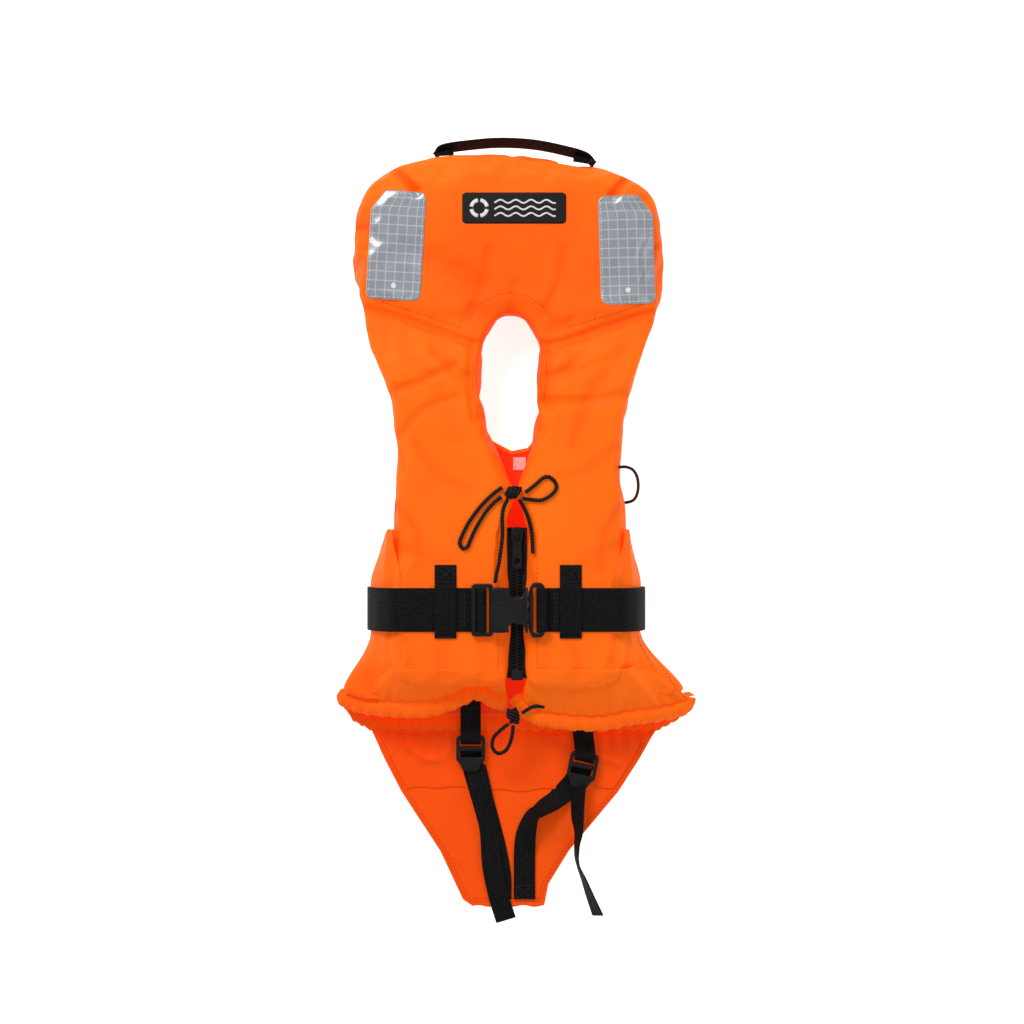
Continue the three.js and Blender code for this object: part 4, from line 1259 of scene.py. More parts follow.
def make_belts():
    z = BELT_Z
    left = belt_line([
        (20, 0.85), (-123, 0.85), (-131, 4.5), (-134, 14), (-131.5, 34), (-122, 54), (-110, 66.4), (-102, z),
        (-44, z), (-34, z), (-32.2, 69.5), (-31.2, 72.6), (-29.6, 73.9), (-25.4, 73.9), (-24.2, 72.4),
        (-24, 67.8)])
    obj = webbing("belt_left_webbing", left, (0, 1, 0), BELT_HIGH - BELT_LOW, BELT_T)
    settle(obj, "webbing", "jacket", "belt_left")
    right = belt_line([
        (2, 2.6), (24, 2.6), (34, 0.85), (114.5, 0.85), (121, 4.5), (123.2, 14), (121.5, 34), (114.5, 54),
        (103.5, 66.4), (95, z), (33.4, z), (31.9, 69), (31.5, 75.2), (26.4, 75.6), (23.2, 73.6),
        (22.9, 69.0)])
    obj = webbing("belt_right_webbing", right, (0, 1, 0), BELT_HIGH - BELT_LOW, BELT_T)
    settle(obj, "webbing", "tongue", "belt_right")
    top = z + BELT_T / 2 - 0.2
    for side, body, rows in (("left", "jacket", (-46, -43.5)), ("right", "tongue", (39, 41.2))):
        across = [[(x, BELT_LOW + 3), (x, BELT_HIGH - 3)] for x in rows]
        topstitch(f"belt_{side}_stitches", flat_lines(across, top), "black_thread", body)


def make_keepers():
    base = BELT_Z
    for side in ("left", "right"):
        low, high = cad_box(f"{side}_belt_keeper")
        x = (low[0] + high[0]) / 2
        over = base + 2.1
        line = rounded_line([
            (x, low[1], base), (x, BELT_LOW - 3.2, base), (x, BELT_LOW - 1.2, over),
            (x, BELT_HIGH + 1.2, over), (x, BELT_HIGH + 3.2, base), (x, high[1], base)], 1.6, 0.55)
        obj = webbing(f"{side}_keeper_webbing", line, (1, 0, 0), high[0] - low[0], 1.5)
        settle(obj, "webbing", "jacket", f"{side}_belt_keeper")
        top = base + 0.85
        boxes = box_stitch(low[0] + 2.5, high[0] - 2.5, BELT_HIGH + 5.5, high[1] - 2.0)
        boxes += [[(low[0] + 2.5, low[1] + 1.4), (high[0] - 2.5, low[1] + 1.4)]]
        topstitch(f"{side}_keeper_stitches", flat_lines(boxes, top), "black_thread", "jacket")


def flat_across(line):
    d = directions(line)
    return unit(np.stack([-d[:, 1], d[:, 0], 0 * d[:, 0]], axis=1))


def rolled_across(line, rolls):
    """Direction of a strap's width, turned about the strap by rolls of (share, degrees)."""
    d = directions(line)
    side = flat_across(line)
    up = np.cross(d, side)
    share = np.linspace(0, 1, len(line))
    angle = np.radians(along(rolls, share))[:, None]
    return side * np.cos(angle) + up * np.sin(angle)


def settle_anchor(obj, side):
    """An anchor runs from the hem to its lock, yet belongs to no body: it gets its finish, its frame node is
    hidden and its placing is baked into the mesh.
    """
    settle(obj, "webbing", None, f"{side}_strap_anchor")
    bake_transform(obj)


def make_anchors():
    """Short straps from inside the front hem through the upper slot of each lock."""
    hem_under = 18.8
    x = -38.5
    anchor = rounded_line([
        (x, -74, hem_under), (x, -88, hem_under), (x, -99, 13.5), (x, -110, 8.6), (x, -116, 10.4),
        (x, -118.4, 12.2), (x, -121.8, 12.2), (x, -125.2, 9.6), (x, -125.6, 6.2)], 3.0, 0.6)
    settle_anchor(webbing("left_anchor_webbing", anchor, (1, 0, 0), STRAP_W - 1, 1.5), "left")
    x = 65.5
    anchor = rounded_line([
        (x - 1, -82, hem_under), (x - 0.6, -98, hem_under), (x, -106, 12.5), (x + 0.6, -114, 7.4),
        (x + 1.6, -124, 6.6), (x + 2.6, -132, 10.0), (x + 3.0, -135, 12.2), (x + 2.2, -138.2, 12.2),
        (x + 1.7, -141.4, 9.6), (x + 1.6, -141.8, 6.4)], 3.0, 0.6)
    settle_anchor(webbing("right_anchor_webbing", anchor, -flat_across(anchor), STRAP_W - 1, 1.5), "right")


def make_crotch_straps():
    """Both straps sewn to the flap's point, and the tails that come out of the locks."""
    z = 4.15
    left = spline([(-38.5, -131, z + 3.5), (-38, -139, z), (-35, -152, z), (-24, -190, z), (-15, -225, z),
                   (-10.8, -250, z), (-10.5, -271, z)], 0.65)
    obj = webbing("left_crotch_webbing", left, flat_across(left), STRAP_W, 1.5)
    settle(obj, "webbing", "flap", "left_crotch_strap")
    upper = spline([(65, -146, z + 3.0), (63, -153, z), (54, -166, z), (40, -178, z + 1.5),
                    (28, -186, z + 5.5), (20.5, -191.5, z + 8.0)], 0.65)
    obj = webbing("right_crotch_webbing_upper", upper,
                  rolled_across(upper, [(0, 0), (0.35, 0), (0.75, 38), (1, 64)]), STRAP_W, 1.5)
    settle(obj, "webbing", "flap")
    lower = spline([(21.5, -189.5, z + 8.2), (17.5, -196, z + 6.5), (13.2, -210, z + 3.2),
                    (11.8, -226, z + 0.8), (11.6, -245, z), (11.6, -271, z)], 0.65)
    obj = webbing("right_crotch_webbing", lower,
                  rolled_across(lower, [(0, 58), (0.14, 40), (0.38, 8), (0.5, 0), (1, 0)]), STRAP_W, 1.5)
    settle(obj, "webbing", "flap", "right_crotch_strap")

    tail_z = z + 2.0
    left_tail = spline([(-34, -147, tail_z + 2.5), (-32, -154, tail_z + 0.6), (-28, -172, tail_z + 1.8),
                        (-21, -205, tail_z), (-18.5, -238, tail_z + 0.3), (-13, -266, tail_z),
                        (-5.6, -290.5, tail_z - 3.4)], 0.6)
    obj = webbing("left_tail_webbing", left_tail,
                  rolled_across(left_tail, [(0, 6), (0.3, -14), (0.6, -4), (0.8, 8), (1, 0)]),
                  STRAP_W - 1, 1.5)
    settle(obj, "webbing", "flap", "left_strap_tail")
    right_tail = spline([(62.5, -163, 9), (61.5, -172, 10.5), (61.0, -192, 11.5), (62, -207, 12.5),
                         (60.2, -222, 13), (60.8, -236, 12.8), (67, -252, 11.0), (73, -268, 9.5),
                         (80, -285.5, 7.4)], 0.6)
    obj = webbing("right_tail_webbing", right_tail,
                  rolled_across(right_tail, [(0, 42), (0.25, 52), (0.42, 76), (0.6, 84), (0.8, 70), (1, 58)]),
                  STRAP_W - 2, 1.5)
    settle(obj, "webbing", "flap", "right_strap_tail")
    topstitch("crotch_strap_stitches",
              flat_lines(box_stitch(-18, -3, -270, -258) + box_stitch(4, 19, -270, -258), z + 0.85),
              "black_thread", "flap")


HANDLE_Z = COLLAR_TOP / 2


def make_handle():
    bow = [(-71, 419), (-64, 425.5), (-40, 429.3), (-11, 431.5), (20, 429.8), (48, 424.4), (68, 418.5),
           (76, 411)]
    line = spline([(x, y, HANDLE_Z) for x, y in bow], 0.6)
    obj = webbing("grab_handle_webbing", line, (0, 0.38, 0.92), 18.0, 1.6)
    settle(obj, "webbing", "handle", "grab_handle")
    for name, x, y, lean in (("left", -61, 424.2, 0.05), ("right", 64, 417.6, -0.16)):
        tab = spline([(x + dx, y + dx * lean, HANDLE_Z + 1) for dx in (-7, 0, 7)], 0.5)
        piece = webbing(f"handle_tab_{name}", tab, (0, -0.62, 0.78), 17.0, 1.8)
        settle(piece, "webbing", "collar")


# ---------------------------------------------------------------- moulded parts
BUCKLE_Z = FRONT_TOP + 0.3


def make_buckle():
    y = BELT_Y
    low, high = cad_box("buckle_housing")
    left, right = float(low[0]), float(high[0])
    z = BUCKLE_Z
    slots = [box_outline(left + x, left + x + 4, y - 20.4, y + 20.4, 1.2)[::-1] for x in (4, 12)]
    adjuster = moulding("adjuster", box_outline(left, -17, y - 24, y + 24, 4), slots, z, z + 6, 0.9)
    half, waist = 20.5, 11.5
    edge = [(-19, half), (-6, half), (-3, waist + 3), (0, waist), (8, waist), (11, waist + 3), (12.6, half),
            (right, half)]
    housing = [(x, y - reach) for x, reach in edge] + [(x, y + reach) for x, reach in edge[::-1]]
    outline = rounded(housing, [3, 2, 3, 3, 3, 3, 1, 1, 1, 1, 3, 3, 3, 3, 2, 3])
    floor = moulding("housing_floor", outline, [], z, z + 3, 0.8)
    roof = moulding("housing_roof", outline, [], z + 9, z + 12, 1.1)
    parts = [adjuster, floor, roof]
    for side in (-1, 1):
        wall_y = y + side * 18.0
        parts.append(moulding("housing_wall", box_outline(-18.6, -3, wall_y - 2.2, wall_y + 2.2, 0.8), [],
                              z + 2.5, z + 9.5, 0.3))
    back = box_outline(-18.6, -14, y - 19, y + 19, 0.8)
    parts.append(moulding("housing_back", back, [], z + 2.5, z + 9.5, 0.3))
    raised = rounded([(-14, y - 8), (8, y - 6), (8, y + 6), (-14, y + 8)], 2)
    parts.append(moulding("housing_crown", raised, [], z + 11.4, z + 12.5, 0.35))
    for k in range(4):
        rib = box_outline(-16.7, -15.7, y - 17 + 9 * k, y - 10 + 9 * k, 0.3)
        parts.append(moulding("grip_rib", rib, [], z + 11.6, z + 12.3, 0.25))
    obj = merge("buckle_housing_moulding", parts)
    settle(obj, "moulded", "jacket", "buckle_housing")

    x0 = right + 0.3
    x1 = float(cad_box("buckle_tongue")[1][0])
    edge = [(x0, 16), (x0 + 2, 22), (x0 + 4, 25), (x1 - 3, 25), (x1, 21)]
    frame_outline = [(x, y - reach) for x, reach in edge] + [(x, y + reach) for x, reach in edge[::-1]]
    tongue = moulding("tongue_frame", rounded(frame_outline, [1, 2, 3, 3, 2, 2, 3, 3, 2, 1]),
                      [box_outline(x0 + 4.6, x0 + 9.6, y - 20.4, y + 20.4, 1.4)[::-1]], z + 1, z + 8.4, 1.1)
    parts = [tongue]
    for side in (-1, 1):
        prong = [(x0 + 2, y + side * 12.5), (x0 - 9, y + side * 12.5), (x0 - 11, y + side * 13.6),
                 (x0 - 13, y + side * 11.5), (x0 - 12, y + side * 8.2), (x0 + 2, y + side * 7.6)]
        parts.append(moulding("prong", rounded(prong[::side], 1.2), [], z + 3.4, z + 8.2, 0.6))
    guide = box_outline(x0 - 10, x0 + 2, y - 1.8, y + 1.8, 1.0)
    parts.append(moulding("guide", guide, [], z + 3.6, z + 8.0, 0.5))
    obj = merge("buckle_tongue_moulding", parts)
    settle(obj, "moulded", "tongue", "buckle_tongue")


LOCKS = {"left": (-38.5, -133.0, 0.0), "right": (65.5, -149.0, -0.2)}


def make_ladder_locks():
    z = 5.1
    for side, (x, y, turn) in LOCKS.items():
        outline = rounded([(-12, 15), (12, 15), (13.5, 12), (13.5, -8), (10, -11), (7, -18), (-7, -18),
                           (-10, -11), (-13.5, -8), (-13.5, 12)], [2, 2, 2, 2, 2, 2.4, 2.4, 2, 2, 2])
        slots = [box_outline(-10.4, 10.4, low, low + 5.5, 0.8)[::-1] for low in (5, -5)]
        parts = [moulding("lock_frame", outline, slots, z, z + 6, 0.9)]
        for k in range(5):
            half, top = 6 - 0.4 * k, -11.6 - 1.2 * k
            rib = box_outline(-half, half, top - 0.6, top, 0.2)
            parts.append(moulding("lever_rib", rib, [], z + 5.6, z + 6.3, 0.15))
        parts.append(moulding("grip_bar", box_outline(-10.2, 10.2, 1.2, 4.2, 1.2), [], z + 4.6, z + 6.6, 0.6))
        obj = merge(f"{side}_lock_moulding", parts)
        move(obj, x, y, 0, turn)
        settle(obj, "moulded", f"{side}_lock", f"{side}_ladder_lock")


TOOTH = [
    (4.0, -0.75), (1.2, -0.75), (0.4, -0.55), (-0.3, -0.95), (-1.3, -0.7), (-1.3, 0.7), (-0.3, 0.95),
    (0.4, 0.55), (1.2, 0.75), (4.0, 0.75),
]
TOOTH_PITCH = 3.0


def make_zip_halves():
    """Tapes with their moulded teeth, which sit half a pitch apart."""
    for side, sign in (("left", -1), ("right", 1)):
        low, high = cad_box(f"zip_tape_{side}")

        def place(u, v, low=low, high=high, sign=sign):
            x = low[0] + (high[0] - low[0]) * u
            y = low[1] + (high[1] - low[1]) * v
            inner = (u if sign < 0 else 1 - u)
            rise = 2.4 * (1 - inner) ** 2
            return x, y, high[2] - 0.1 + rise + 0.05 * np.sin(y * 5.0)

        tape = cloth_grid(f"zip_tape_cloth_{side}", place, 12, 200, 0.9)
        settle(tape, "webbing", "jacket", f"zip_tape_{side}", material="zip_tape")
        low, high = cad_box(f"zip_teeth_{side}")
        start = low[1] + 0.9 + (0.0 if side == "left" else TOOTH_PITCH / 2)
        count = int((high[1] - low[1] - 2) / TOOTH_PITCH)
        layers = ((low[2], 0.85), (low[2] + 0.5, 1.0), (high[2] - 0.7, 1.0), (high[2] - 0.1, 0.75))
        n = len(TOOTH)
        verts, faces = [], []
        for k in range(count):
            y = start + k * TOOTH_PITCH
            base = len(verts)
            for z, shrink in layers:
                for px, py in TOOTH:
                    cx = 1.3 + (px - 1.3) * (1 - (1 - shrink) * 0.4)
                    verts.append((ZIP_X + sign * cx, y + py * shrink, z))
            for layer in range(3):
                for j in range(n):
                    a, b = base + layer * n + j, base + layer * n + (j + 1) % n
                    faces.append((a, b, b + n, a + n))
            faces.append(tuple(base + j for j in range(n)))
            faces.append(tuple(base + 3 * n + j for j in reversed(range(n))))
        teeth = make_object(f"zip_teeth_row_{side}", verts, faces, smooth=False)
        settle(teeth, "moulded", "jacket", f"zip_teeth_{side}")


def make_zip_box():
    low, high = cad_box("zip_box")
    outline = rounded([(low[0], low[1]), (high[0], low[1]), (high[0], high[1] - 1.4), (high[0] - 2, high[1]),
                       (low[0] + 2, high[1]), (low[0], high[1] - 1.4)], 1.2)
    box = moulding("zip_box_moulding", outline, [], float(low[2]), float(high[2]), 0.6)
    settle(box, "moulded", "jacket", "zip_box")


def make_zip_slider():
    """Slider with its bridge, and the pull that hangs from it."""
    low, high = cad_box("zip_slider")
    cx, cy = (low[0] + high[0]) / 2, 69.0
    z = 51.7
    shell = rounded([(cx - 5.4, cy + 6), (cx - 5.8, cy + 2), (cx - 4.6, cy - 7), (cx + 4.6, cy - 7),
                     (cx + 5.8, cy + 2), (cx + 5.4, cy + 6), (cx + 2.5, cy + 7.5), (cx - 2.5, cy + 7.5)], 1.6)
    body = moulding("slider_shell", shell, [], z, z + 2, 0.6)
    walls = []
    for wall_x in (cx - 4.9, cx + 4.9):
        wall = box_outline(wall_x - 0.7, wall_x + 0.7, cy - 5, cy + 4, 0.3)
        walls.append(moulding("slider_wall", wall, [], z - 1.4, z + 1, 0.25))
    posts = []
    for low_y, high_y in ((-4.2, -3.0), (3.5, 5.0)):
        post = box_outline(cx - 1, cx + 1, cy + low_y, cy + high_y, 0.4)
        posts.append(moulding("slider_post", post, [], z + 1, z + 5.4, 0.3))
    span = box_outline(cx - 1, cx + 1, cy - 4.2, cy + 5, 0.4)
    bridge = moulding("slider_bridge", span, [], z + 4.7, z + 5.6, 0.3)
    obj = merge("zip_slider_moulding", [body, *walls, *posts, bridge])
    settle(obj, "moulded", "slider", "zip_slider")
    py = cy - 1
    low, high = cad_box("zip_pull")
    bottom, top = float(low[2]), float(high[2])
    outline = rounded([(cx - 3.2, py + 2.6), (cx - 4, py - 2), (cx - 4.5, py - 26), (cx - 3.4, py - 30),
                       (cx + 3.4, py - 30), (cx + 4.5, py - 26), (cx + 4, py - 2), (cx + 3.2, py + 2.6)], 1.4)
    eye = box_outline(cx - 2, cx + 2, py - 4.9, py + 1.2, 0.8)[::-1]
    window = box_outline(cx - 2.4, cx + 2.4, py - 25.5, py - 20.5, 1.4)[::-1]
    pull = moulding("zip_pull_moulding", outline, [eye, window], bottom, top, 0.5)
    ribs = []
    for k in range(5):
        rib = box_outline(cx - 2.8, cx + 2.8, py - 8.6 - 2 * k, py - 7.8 - 2 * k, 0.3)
        ribs.append(moulding("pull_rib", rib, [], top - 0.3, top + 0.35, 0.2))
    obj = merge("zip_pull_moulding", [pull, *ribs])
    settle(obj, "moulded", "pull", "zip_pull")


# ---------------------------------------------------------------- trim on the collar
def patch_rows(half_w, half_l, corner, chamfer_side):
    """Left and right reach of a patch at a height along it, with a cut upper outer corner."""
    def extent(y):
        d = np.clip(np.abs(y) - (half_l - corner), 0, corner)
        pull = corner - np.sqrt(np.maximum(corner ** 2 - d ** 2, 0))
        cut = np.maximum(0, y - (half_l - 18.0)) / 18.0 * 13.0 if chamfer_side else 0.0
        left = -half_w + np.maximum(pull, cut if chamfer_side < 0 else 0)
        right = half_w - np.maximum(pull, cut if chamfer_side > 0 else 0)
        return left, right
    return extent


def surface_patch(name, centre, turn, half_w, half_l, corner, chamfer_side, lift, thickness, step=1.6):
    """Flexible patch that lies on the cover, with its own flat coordinates as UVs."""
    surface = SHARED["cover"]
    extent = patch_rows(half_w, half_l, corner, chamfer_side)
    c, s = math.cos(turn), math.sin(turn)

    def place(u, v):
        y = (v * 2 - 1) * half_l
        left, right = extent(y)
        x = left + (right - left) * u
        gx, gy = centre[0] + x * c - y * s, centre[1] + x * s + y * c
        z = np.empty_like(gx)
        for k in np.ndindex(gx.shape):
            z[k] = surface.drop(gx[k], gy[k])[0]
        z = np.maximum(z, z.max() - 9.0)
        calm = z.copy()
        for _ in range(10):
            wide = np.pad(calm, 1, mode="edge")
            calm = (wide[:-2, 1:-1] + wide[2:, 1:-1] + wide[1:-1, :-2] + wide[1:-1, 2:]) / 4
        return gx, gy, np.maximum(calm, z) + lift

    nu, nv = max(8, int(half_w * 2 / step)), max(8, int(half_l * 2 / step))
    return cloth_grid(name, place, nu, nv, thickness), place


def make_reflectors():
    for side, chamfer, centre, turn in (("left", -1, (-106, 334), -0.06), ("right", 1, (105, 330), 0.03)):
        film = f"{side}_reflector_film"
        obj, place = surface_patch(film, centre, turn, 25.0, 50.0, 7.0, chamfer, 0.75, 0.7)
        x, y = centre[0] + 37 * math.sin(turn), centre[1] - 37 * math.cos(turn)
        z = SHARED["cover"].drop(x, y)[0]
        angles = np.linspace(0, 2 * math.pi, 20, endpoint=False)
        dot = [(x + 2.4 * math.cos(a), y + 2.4 * math.sin(a)) for a in angles]
        weld = moulding(f"{side}_reflector_weld", dot, [], z + 0.3, z + 1.3, 0.2)
        settle(weld, "reflective", "collar", material="emblem")
        settle(obj, "reflective", "collar", f"{side}_reflector")
        t = np.linspace(0.03, 0.97, 60)
        loops = [(np.full(60, 0.045), t), (t, np.full(60, 0.978)),
                 (np.full(60, 0.955), t[::-1]), (t, np.full(60, 0.022))]
        lines = []
        for u, v in loops:
            x, y, z = place(u.reshape(1, -1).repeat(3, 0), v.reshape(1, -1).repeat(3, 0))
            p = np.stack([x[1], y[1], z[1]], -1)
            lines.append((p, np.broadcast_to(np.array([0, 0, 1.0]), p.shape)))
        topstitch(f"{side}_reflector_stitches", lines, "emblem", "collar", width=0.5, lift=0.1)


def ribbon_on(name, points, width, lift, body, material):
    """Thin printed or bound line that follows the cover."""
    surface = SHARED["cover"]
    line = even(np.asarray(points, float), 0.8)
    d = directions(np.column_stack([line, np.zeros(len(line))]))
    side = np.stack([-d[:, 1], d[:, 0]], axis=1)
    half = width / 2
    rings = []
    for p, s in zip(line, side):
        ring = []
        for k, h in ((-half, 0), (half, 0), (half, 0.18), (-half, 0.18)):
            q = p + s * k
            ring.append((q[0], q[1], surface.drop(q[0], q[1], COLLAR_TOP)[0] + lift + h))
        rings.append(ring)
    obj = loft(name, rings)
    obj.data.materials.append(finish(material))
    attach(obj, body)
    return obj


def make_label():
    """Black patch with a plain lifebuoy ring and three waves."""
    obj, _ = surface_patch("label_cloth", (2, 368), 0.0, 47.5, 14.2, 3.0, 0, 0.6, 0.6)
    settle(obj, "label", "collar", "label_patch")
    cx, cy = -30.0, 368.0
    printed = []
    for k in range(4):
        a = np.linspace(k * math.pi / 2 + 0.16, (k + 1) * math.pi / 2 - 0.16, 16)
        arc = np.stack([cx + 7.2 * np.cos(a), cy + 7.2 * np.sin(a)], 1)
        printed.append((arc, 3.4))
    for k in range(3):
        x = np.linspace(-16, 40, 90)
        y = 374.0 - 6.0 * k + 1.5 * np.sin(x * 2 * np.pi / 14.0)
        printed.append((np.stack([x, y], 1), 1.5))
    for k, (line, width) in enumerate(printed):
        ribbon_on(f"emblem_{k}", line, width, 0.68, "collar", "emblem")


# ---------------------------------------------------------------- cords
ON_FRONT = FRONT_TOP + 0.3 + 1.75
ON_HEM = 38.0 + 0.3 + 1.75
CORD_D = 3.5
LANYARD_D = 2.8
NECK_CORDS = {
    "neck_loop_right": [
        (12, 108, ON_FRONT + 1), (20, 114, ON_FRONT), (30, 122, ON_FRONT), (37, 120, ON_FRONT),
        (40.5, 113, ON_FRONT), (36, 106, ON_FRONT), (27, 101, ON_FRONT), (17, 101.5, ON_FRONT),
        (9.5, 102.6, ON_FRONT + 0.6)],
    "neck_loop_left": [
        (-9, 112.6, ON_FRONT + 1), (-18, 106, ON_FRONT), (-28, 96, ON_FRONT), (-38.5, 82, ON_FRONT),
        (-45.8, 68, ON_FRONT), (-47.6, 61.5, ON_FRONT), (-44.6, 57, ON_FRONT), (-40.4, 58.8, ON_FRONT),
        (-37.8, 65, ON_FRONT), (-32.6, 76, ON_FRONT), (-24, 90, ON_FRONT), (-16, 99, ON_FRONT),
        (-9.6, 104, ON_FRONT + 0.6)],
    "neck_tail_left": [
        (-4, 102, ON_FRONT + 1), (-8.5, 90, ON_FRONT), (-8.8, 68, ON_FRONT), (-11.5, 46, ON_FRONT),
        (-14, 34, ON_FRONT), (-15.6, 25.5, ON_FRONT + 0.4)],
    "neck_tail_right": [
        (6.5, 101.6, ON_FRONT - 0.4), (11.5, 93, ON_FRONT - 1.6), (15.6, 82, ON_FRONT - 2),
        (18, 70, ON_FRONT - 2), (19, 52, ON_FRONT - 1.6)],
}
HEM_LOOP = [
    (-3.5, -104.9, ON_HEM + 1.6), (-11, -111, ON_HEM - 1), (-17, -118, ON_HEM - 4), (-18, -127, ON_HEM - 7),
    (-13, -132.5, ON_HEM - 8.5), (-6, -130, ON_HEM - 8), (-1.5, -122, ON_HEM - 5), (0.5, -113, ON_HEM - 1.4),
    (1, -106.6, ON_HEM + 1.6)]
HEM_TAIL = [(9, -95, ON_HEM + 1), (15, -91, ON_HEM + 0.4), (22, -88.5, ON_HEM), (30, -89, ON_HEM)]
LANYARD = [
    (97, 131, FRONT_TOP + 1.4), (104, 131.2, FRONT_TOP), (110.5, 128.5, 60), (114.6, 122, 53), (116, 114, 44),
    (115.4, 107, 34), (113, 101.8, 24), (109, 99.6, 16), (104, 98.6, 11), (100, 96.4, 9)]


def make_knot(name, centre, radii, node, lean):
    """Overhand knot: a core of cord with three tight turns wound slantwise over it."""
    t = np.linspace(0, 1, 120)
    turn = t * 2 * np.pi * 3.4
    long_way = 0 if radii[0] > radii[1] else 1
    short_way = 1 - long_way
    wound = np.zeros((len(t), 3))
    wound[:, long_way] = (t * 2 - 1) * radii[long_way] * 0.6 + lean * np.sin(turn)
    wound[:, short_way] = (radii[short_way] - CORD_D / 2) * np.sin(turn) * (0.82 + 0.18 * np.sin(np.pi * t))
    wound[:, 2] = (radii[2] - CORD_D / 2) * np.cos(turn)
    core = np.zeros((5, 3))
    core[:, long_way] = np.array([-0.78, -0.4, 0.0, 0.4, 0.78]) * radii[long_way]
    core[:, short_way] = np.array([-0.5, 0.2, 0.0, -0.2, 0.5]) * radii[short_way]
    turns, _ = braid(name, wound[::5] + centre, CORD_D, 0.7)
    middle, _ = braid(name + "_core", core + centre, CORD_D, 0.7)
    obj = merge(name, [turns, middle])
    settle(obj, "cord", "jacket", node)
    return obj


def declared_cord(name, points, diameter, node, tails=0.0):
    obj, line = braid(name, points, diameter, 0.5, tails)
    settle(obj, "cord", "jacket", node)
    path = [tuple(p * MM) for p in line[::2]]
    if (len(line) - 1) % 2:
        path.append(tuple(line[-1] * MM))
    return obj


def make_cords():
    knot = make_knot("neck_knot_braid", (1, 108, ON_FRONT + 0.8), (9.0, 6.5, 4.0), "neck_knot", 1.6)
    for name, points in NECK_CORDS.items():
        far_end, taper = ("bare", 2.0) if "tail" in name else ("knot", 0.0)
        declared_cord(f"{name}_braid", points, CORD_D, name, taper)
    hem_knot = make_knot("hem_knot_braid", (1, -97, ON_HEM + 2.4), (6.6, 8.6, 4.4), "hem_knot", -1.8)
    tail, _ = braid("hem_tail_braid", HEM_TAIL, CORD_D, 0.5)
    settle(tail, "cord", "jacket", "hem_tail")
    declared_cord("hem_loop_braid", HEM_LOOP, CORD_D, "hem_loop")


def make_whistle():
    low, high = cad_box("whistle")
    z0, z1 = float(low[2]), float(high[2])
    outline = rounded([(93.5, 50), (106, 50), (106, 88), (103, 92), (96.5, 92), (93.5, 88)],
                      [4, 4, 3, 2, 2, 3])
    mouth = box_outline(96.5, 103, 66, 70, 0.8)[::-1]
    body = moulding("whistle_body", outline, [mouth], z0, z1, 1.4)
    ear = moulding("whistle_ear", rounded([(96.8, 90), (102.8, 90), (102.8, 94.4), (96.8, 94.4)], 1.8), [],
                   z0 + 1, z0 + 5, 0.6)
    ridge = moulding("whistle_ridge", box_outline(97.5, 102, 52, 64, 1.0), [], z1 - 0.4, z1 + 0.4, 0.3)
    obj = merge("whistle_moulding", [body, ear, ridge])
    settle(obj, "moulded", "jacket", "whistle")
    lanyard, line = tube("whistle_lanyard_cord", LANYARD, LANYARD_D, 0.6)
    settle(lanyard, "cord", "jacket", "whistle_lanyard")


# ---------------------------------------------------------------- stitches on the cover
COVER_STITCHES = {
    "front_stitches": ("jacket", [
        [(-98, 262), (-39, 241), (-32, 235)], [(44, 240), (81, 252), (122, 267)],
        [(-31, 176), (-36, 205), (-35, 232)], [(29, 190), (32, 212), (31, 232)],
        [(-13, 74), (-13, -56)], [(23, 74), (23, -56)]]),
    "collar_stitches": ("collar", [
        [(-120, 283), (-98, 276), (-44, 258)], [(50, 259), (81, 268), (122, 281)],
        [(-40, 268), (-30, 280), (-14, 289), (0, 291), (14, 288), (30, 277), (38, 266)]]),
}


def make_cover_stitches():
    for name, (body, lines) in COVER_STITCHES.items():
        found = [SHARED["cover"].line(line, 1.2) for line in lines]
        topstitch(name, found, "orange_thread", body, width=0.5, lift=0.05)


# ---------------------------------------------------------------- stage
def make_stage():
    scene = bpy.context.scene
    camera_data = bpy.data.cameras.new("camera")
    camera = bpy.data.objects.new("camera", camera_data)
    scene.collection.objects.link(camera)
    distance = 2.6
    view_width = 0.942
    camera.location = (0, 0.0902, distance + 0.04)
    camera_data.sensor_width = 36.0
    camera_data.lens = 36.0 * distance / view_width
    camera_data.clip_end = 20
    scene.camera = camera
    world = bpy.data.worlds.new("studio")
    world.use_nodes = True
    background = world.node_tree.nodes["Background"]
    background.inputs["Color"].default_value = (1, 1, 1, 1)
    background.inputs["Strength"].default_value = 0.42
    scene.world = world
    for name, place, turn, power, size in (
            ("key_light", (-0.9, 1.6, 1.7), (-40, -27, 0), 34, 0.9),
            ("fill_light", (1.5, -0.3, 1.6), (10, 42, 0), 7, 1.6)):
        data = bpy.data.lights.new(name, "AREA")
        data.energy = power
        data.size = size
        light = bpy.data.objects.new(name, data)
        light.location = place
        light.rotation_euler = [math.radians(a) for a in turn]
        scene.collection.objects.link(light)
    half = 6000.0
    corners = [(-half, -half), (half, -half), (half, half), (-half, half)]
    floor = make_object("floor", [(x, y, -0.8) for x, y in corners], [(0, 1, 2, 3)])
    material, _, shader = node_material("pale_floor")
    shader.inputs["Base Color"].default_value = (0.93, 0.93, 0.93, 1)
    shader.inputs["Roughness"].default_value = 0.8
    shader.inputs["Emission Color"].default_value = (1, 1, 1, 1)
    shader.inputs["Emission Strength"].default_value = 0.75
    floor.data.materials.append(material)
    scene.view_settings.view_transform = "Standard"


# ---------------------------------------------------------------- operators
def run_all(*makers):
    for maker in makers:
        maker()
    return {"FINISHED"}


class JACKET_OT_stage(bpy.types.Operator):
    """Camera, lights and the pale floor"""

    bl_idname = "jacket.stage"
    bl_label = "Stage"

    def execute(self, context):
        return run_all(make_stage)


class JACKET_OT_cords(bpy.types.Operator):
    """Neck and hem drawcords, and the whistle on its lanyard"""

    bl_idname = "jacket.cords"
    bl_label = "Cords and whistle"

    def execute(self, context):
        return run_all(make_cords, make_whistle)


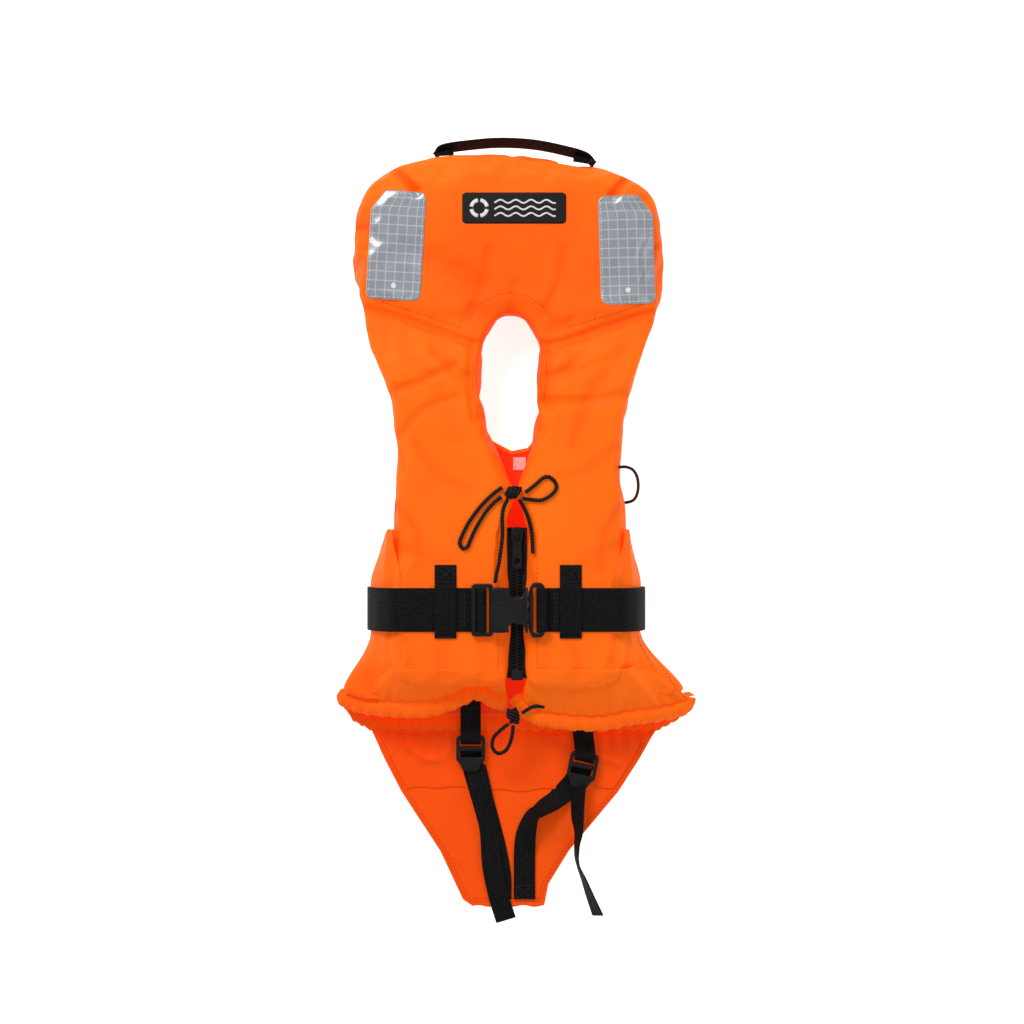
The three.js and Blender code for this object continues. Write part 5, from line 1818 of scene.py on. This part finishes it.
class JACKET_OT_covers(bpy.types.Operator):
    """Padded horseshoe of collar and front panels, with its foam"""

    bl_idname = "jacket.covers"
    bl_label = "Padded covers"

    def execute(self, context):
        return run_all(make_cover, make_foam, make_cover_stitches)


class JACKET_OT_lining(bpy.types.Operator):
    """Back panel, shoulder folds and care label"""

    bl_idname = "jacket.lining"
    bl_label = "Lining"

    def execute(self, context):
        return run_all(make_back_panel, make_care_label)


class JACKET_OT_skirt(bpy.types.Operator):
    """Side cloth and the gathered hems"""

    bl_idname = "jacket.skirt"
    bl_label = "Skirt and hems"

    def execute(self, context):
        for side in ("left", "right"):
            make_side(side)
            make_front_hem(side)
        return run_all(make_back_hem)


class JACKET_OT_flap(bpy.types.Operator):
    """Seat flap with its facing and stitches"""

    bl_idname = "jacket.flap"
    bl_label = "Seat flap"

    def execute(self, context):
        return run_all(make_seat_flap)


class JACKET_OT_webbing(bpy.types.Operator):
    """Belt, keepers, crotch straps and grab handle"""

    bl_idname = "jacket.webbing"
    bl_label = "Webbing"

    def execute(self, context):
        return run_all(make_belts, make_keepers, make_anchors, make_crotch_straps, make_handle)


class JACKET_OT_mouldings(bpy.types.Operator):
    """Buckle, ladder locks and zip"""

    bl_idname = "jacket.mouldings"
    bl_label = "Moulded parts"

    def execute(self, context):
        return run_all(make_buckle, make_ladder_locks, make_zip_halves, make_zip_box, make_zip_slider)


class JACKET_OT_trim(bpy.types.Operator):
    """Reflective patches and the label"""

    bl_idname = "jacket.trim"
    bl_label = "Trim"

    def execute(self, context):
        return run_all(make_reflectors, make_label)


OPERATORS = (
    JACKET_OT_stage, JACKET_OT_cords, JACKET_OT_covers, JACKET_OT_lining, JACKET_OT_skirt, JACKET_OT_flap,
    JACKET_OT_webbing, JACKET_OT_mouldings, JACKET_OT_trim,
)


class JACKET_PT_panel(bpy.types.Panel):
    """Lists the pieces of the life jacket"""

    bl_idname = "JACKET_PT_panel"
    bl_label = "Life jacket"
    bl_space_type = "VIEW_3D"
    bl_region_type = "UI"
    bl_category = "Life jacket"

    def draw(self, context):
        for settings in (context.scene.jacket_sizes, context.scene.jacket_colours):
            for name in settings.bl_rna.properties.keys():
                if name not in ("rna_type", "name"):
                    self.layout.prop(settings, name)
        for operator in OPERATORS:
            self.layout.operator(operator.bl_idname)


CLASSES = (JacketSizes, JacketColours, *OPERATORS, JACKET_PT_panel)


def register():
    for cls in CLASSES:
        bpy.utils.register_class(cls)
    bpy.types.Scene.jacket_sizes = bpy.props.PointerProperty(type=JacketSizes)
    bpy.types.Scene.jacket_colours = bpy.props.PointerProperty(type=JacketColours)


def unregister():
    del bpy.types.Scene.jacket_sizes
    del bpy.types.Scene.jacket_colours
    for cls in reversed(CLASSES):
        bpy.utils.unregister_class(cls)


def main():
    register()
    for step in ("stage", "cords", "covers", "lining", "skirt", "flap", "webbing", "mouldings", "trim"):
        getattr(bpy.ops.jacket, step)()


if __name__ == "__main__":
    main()
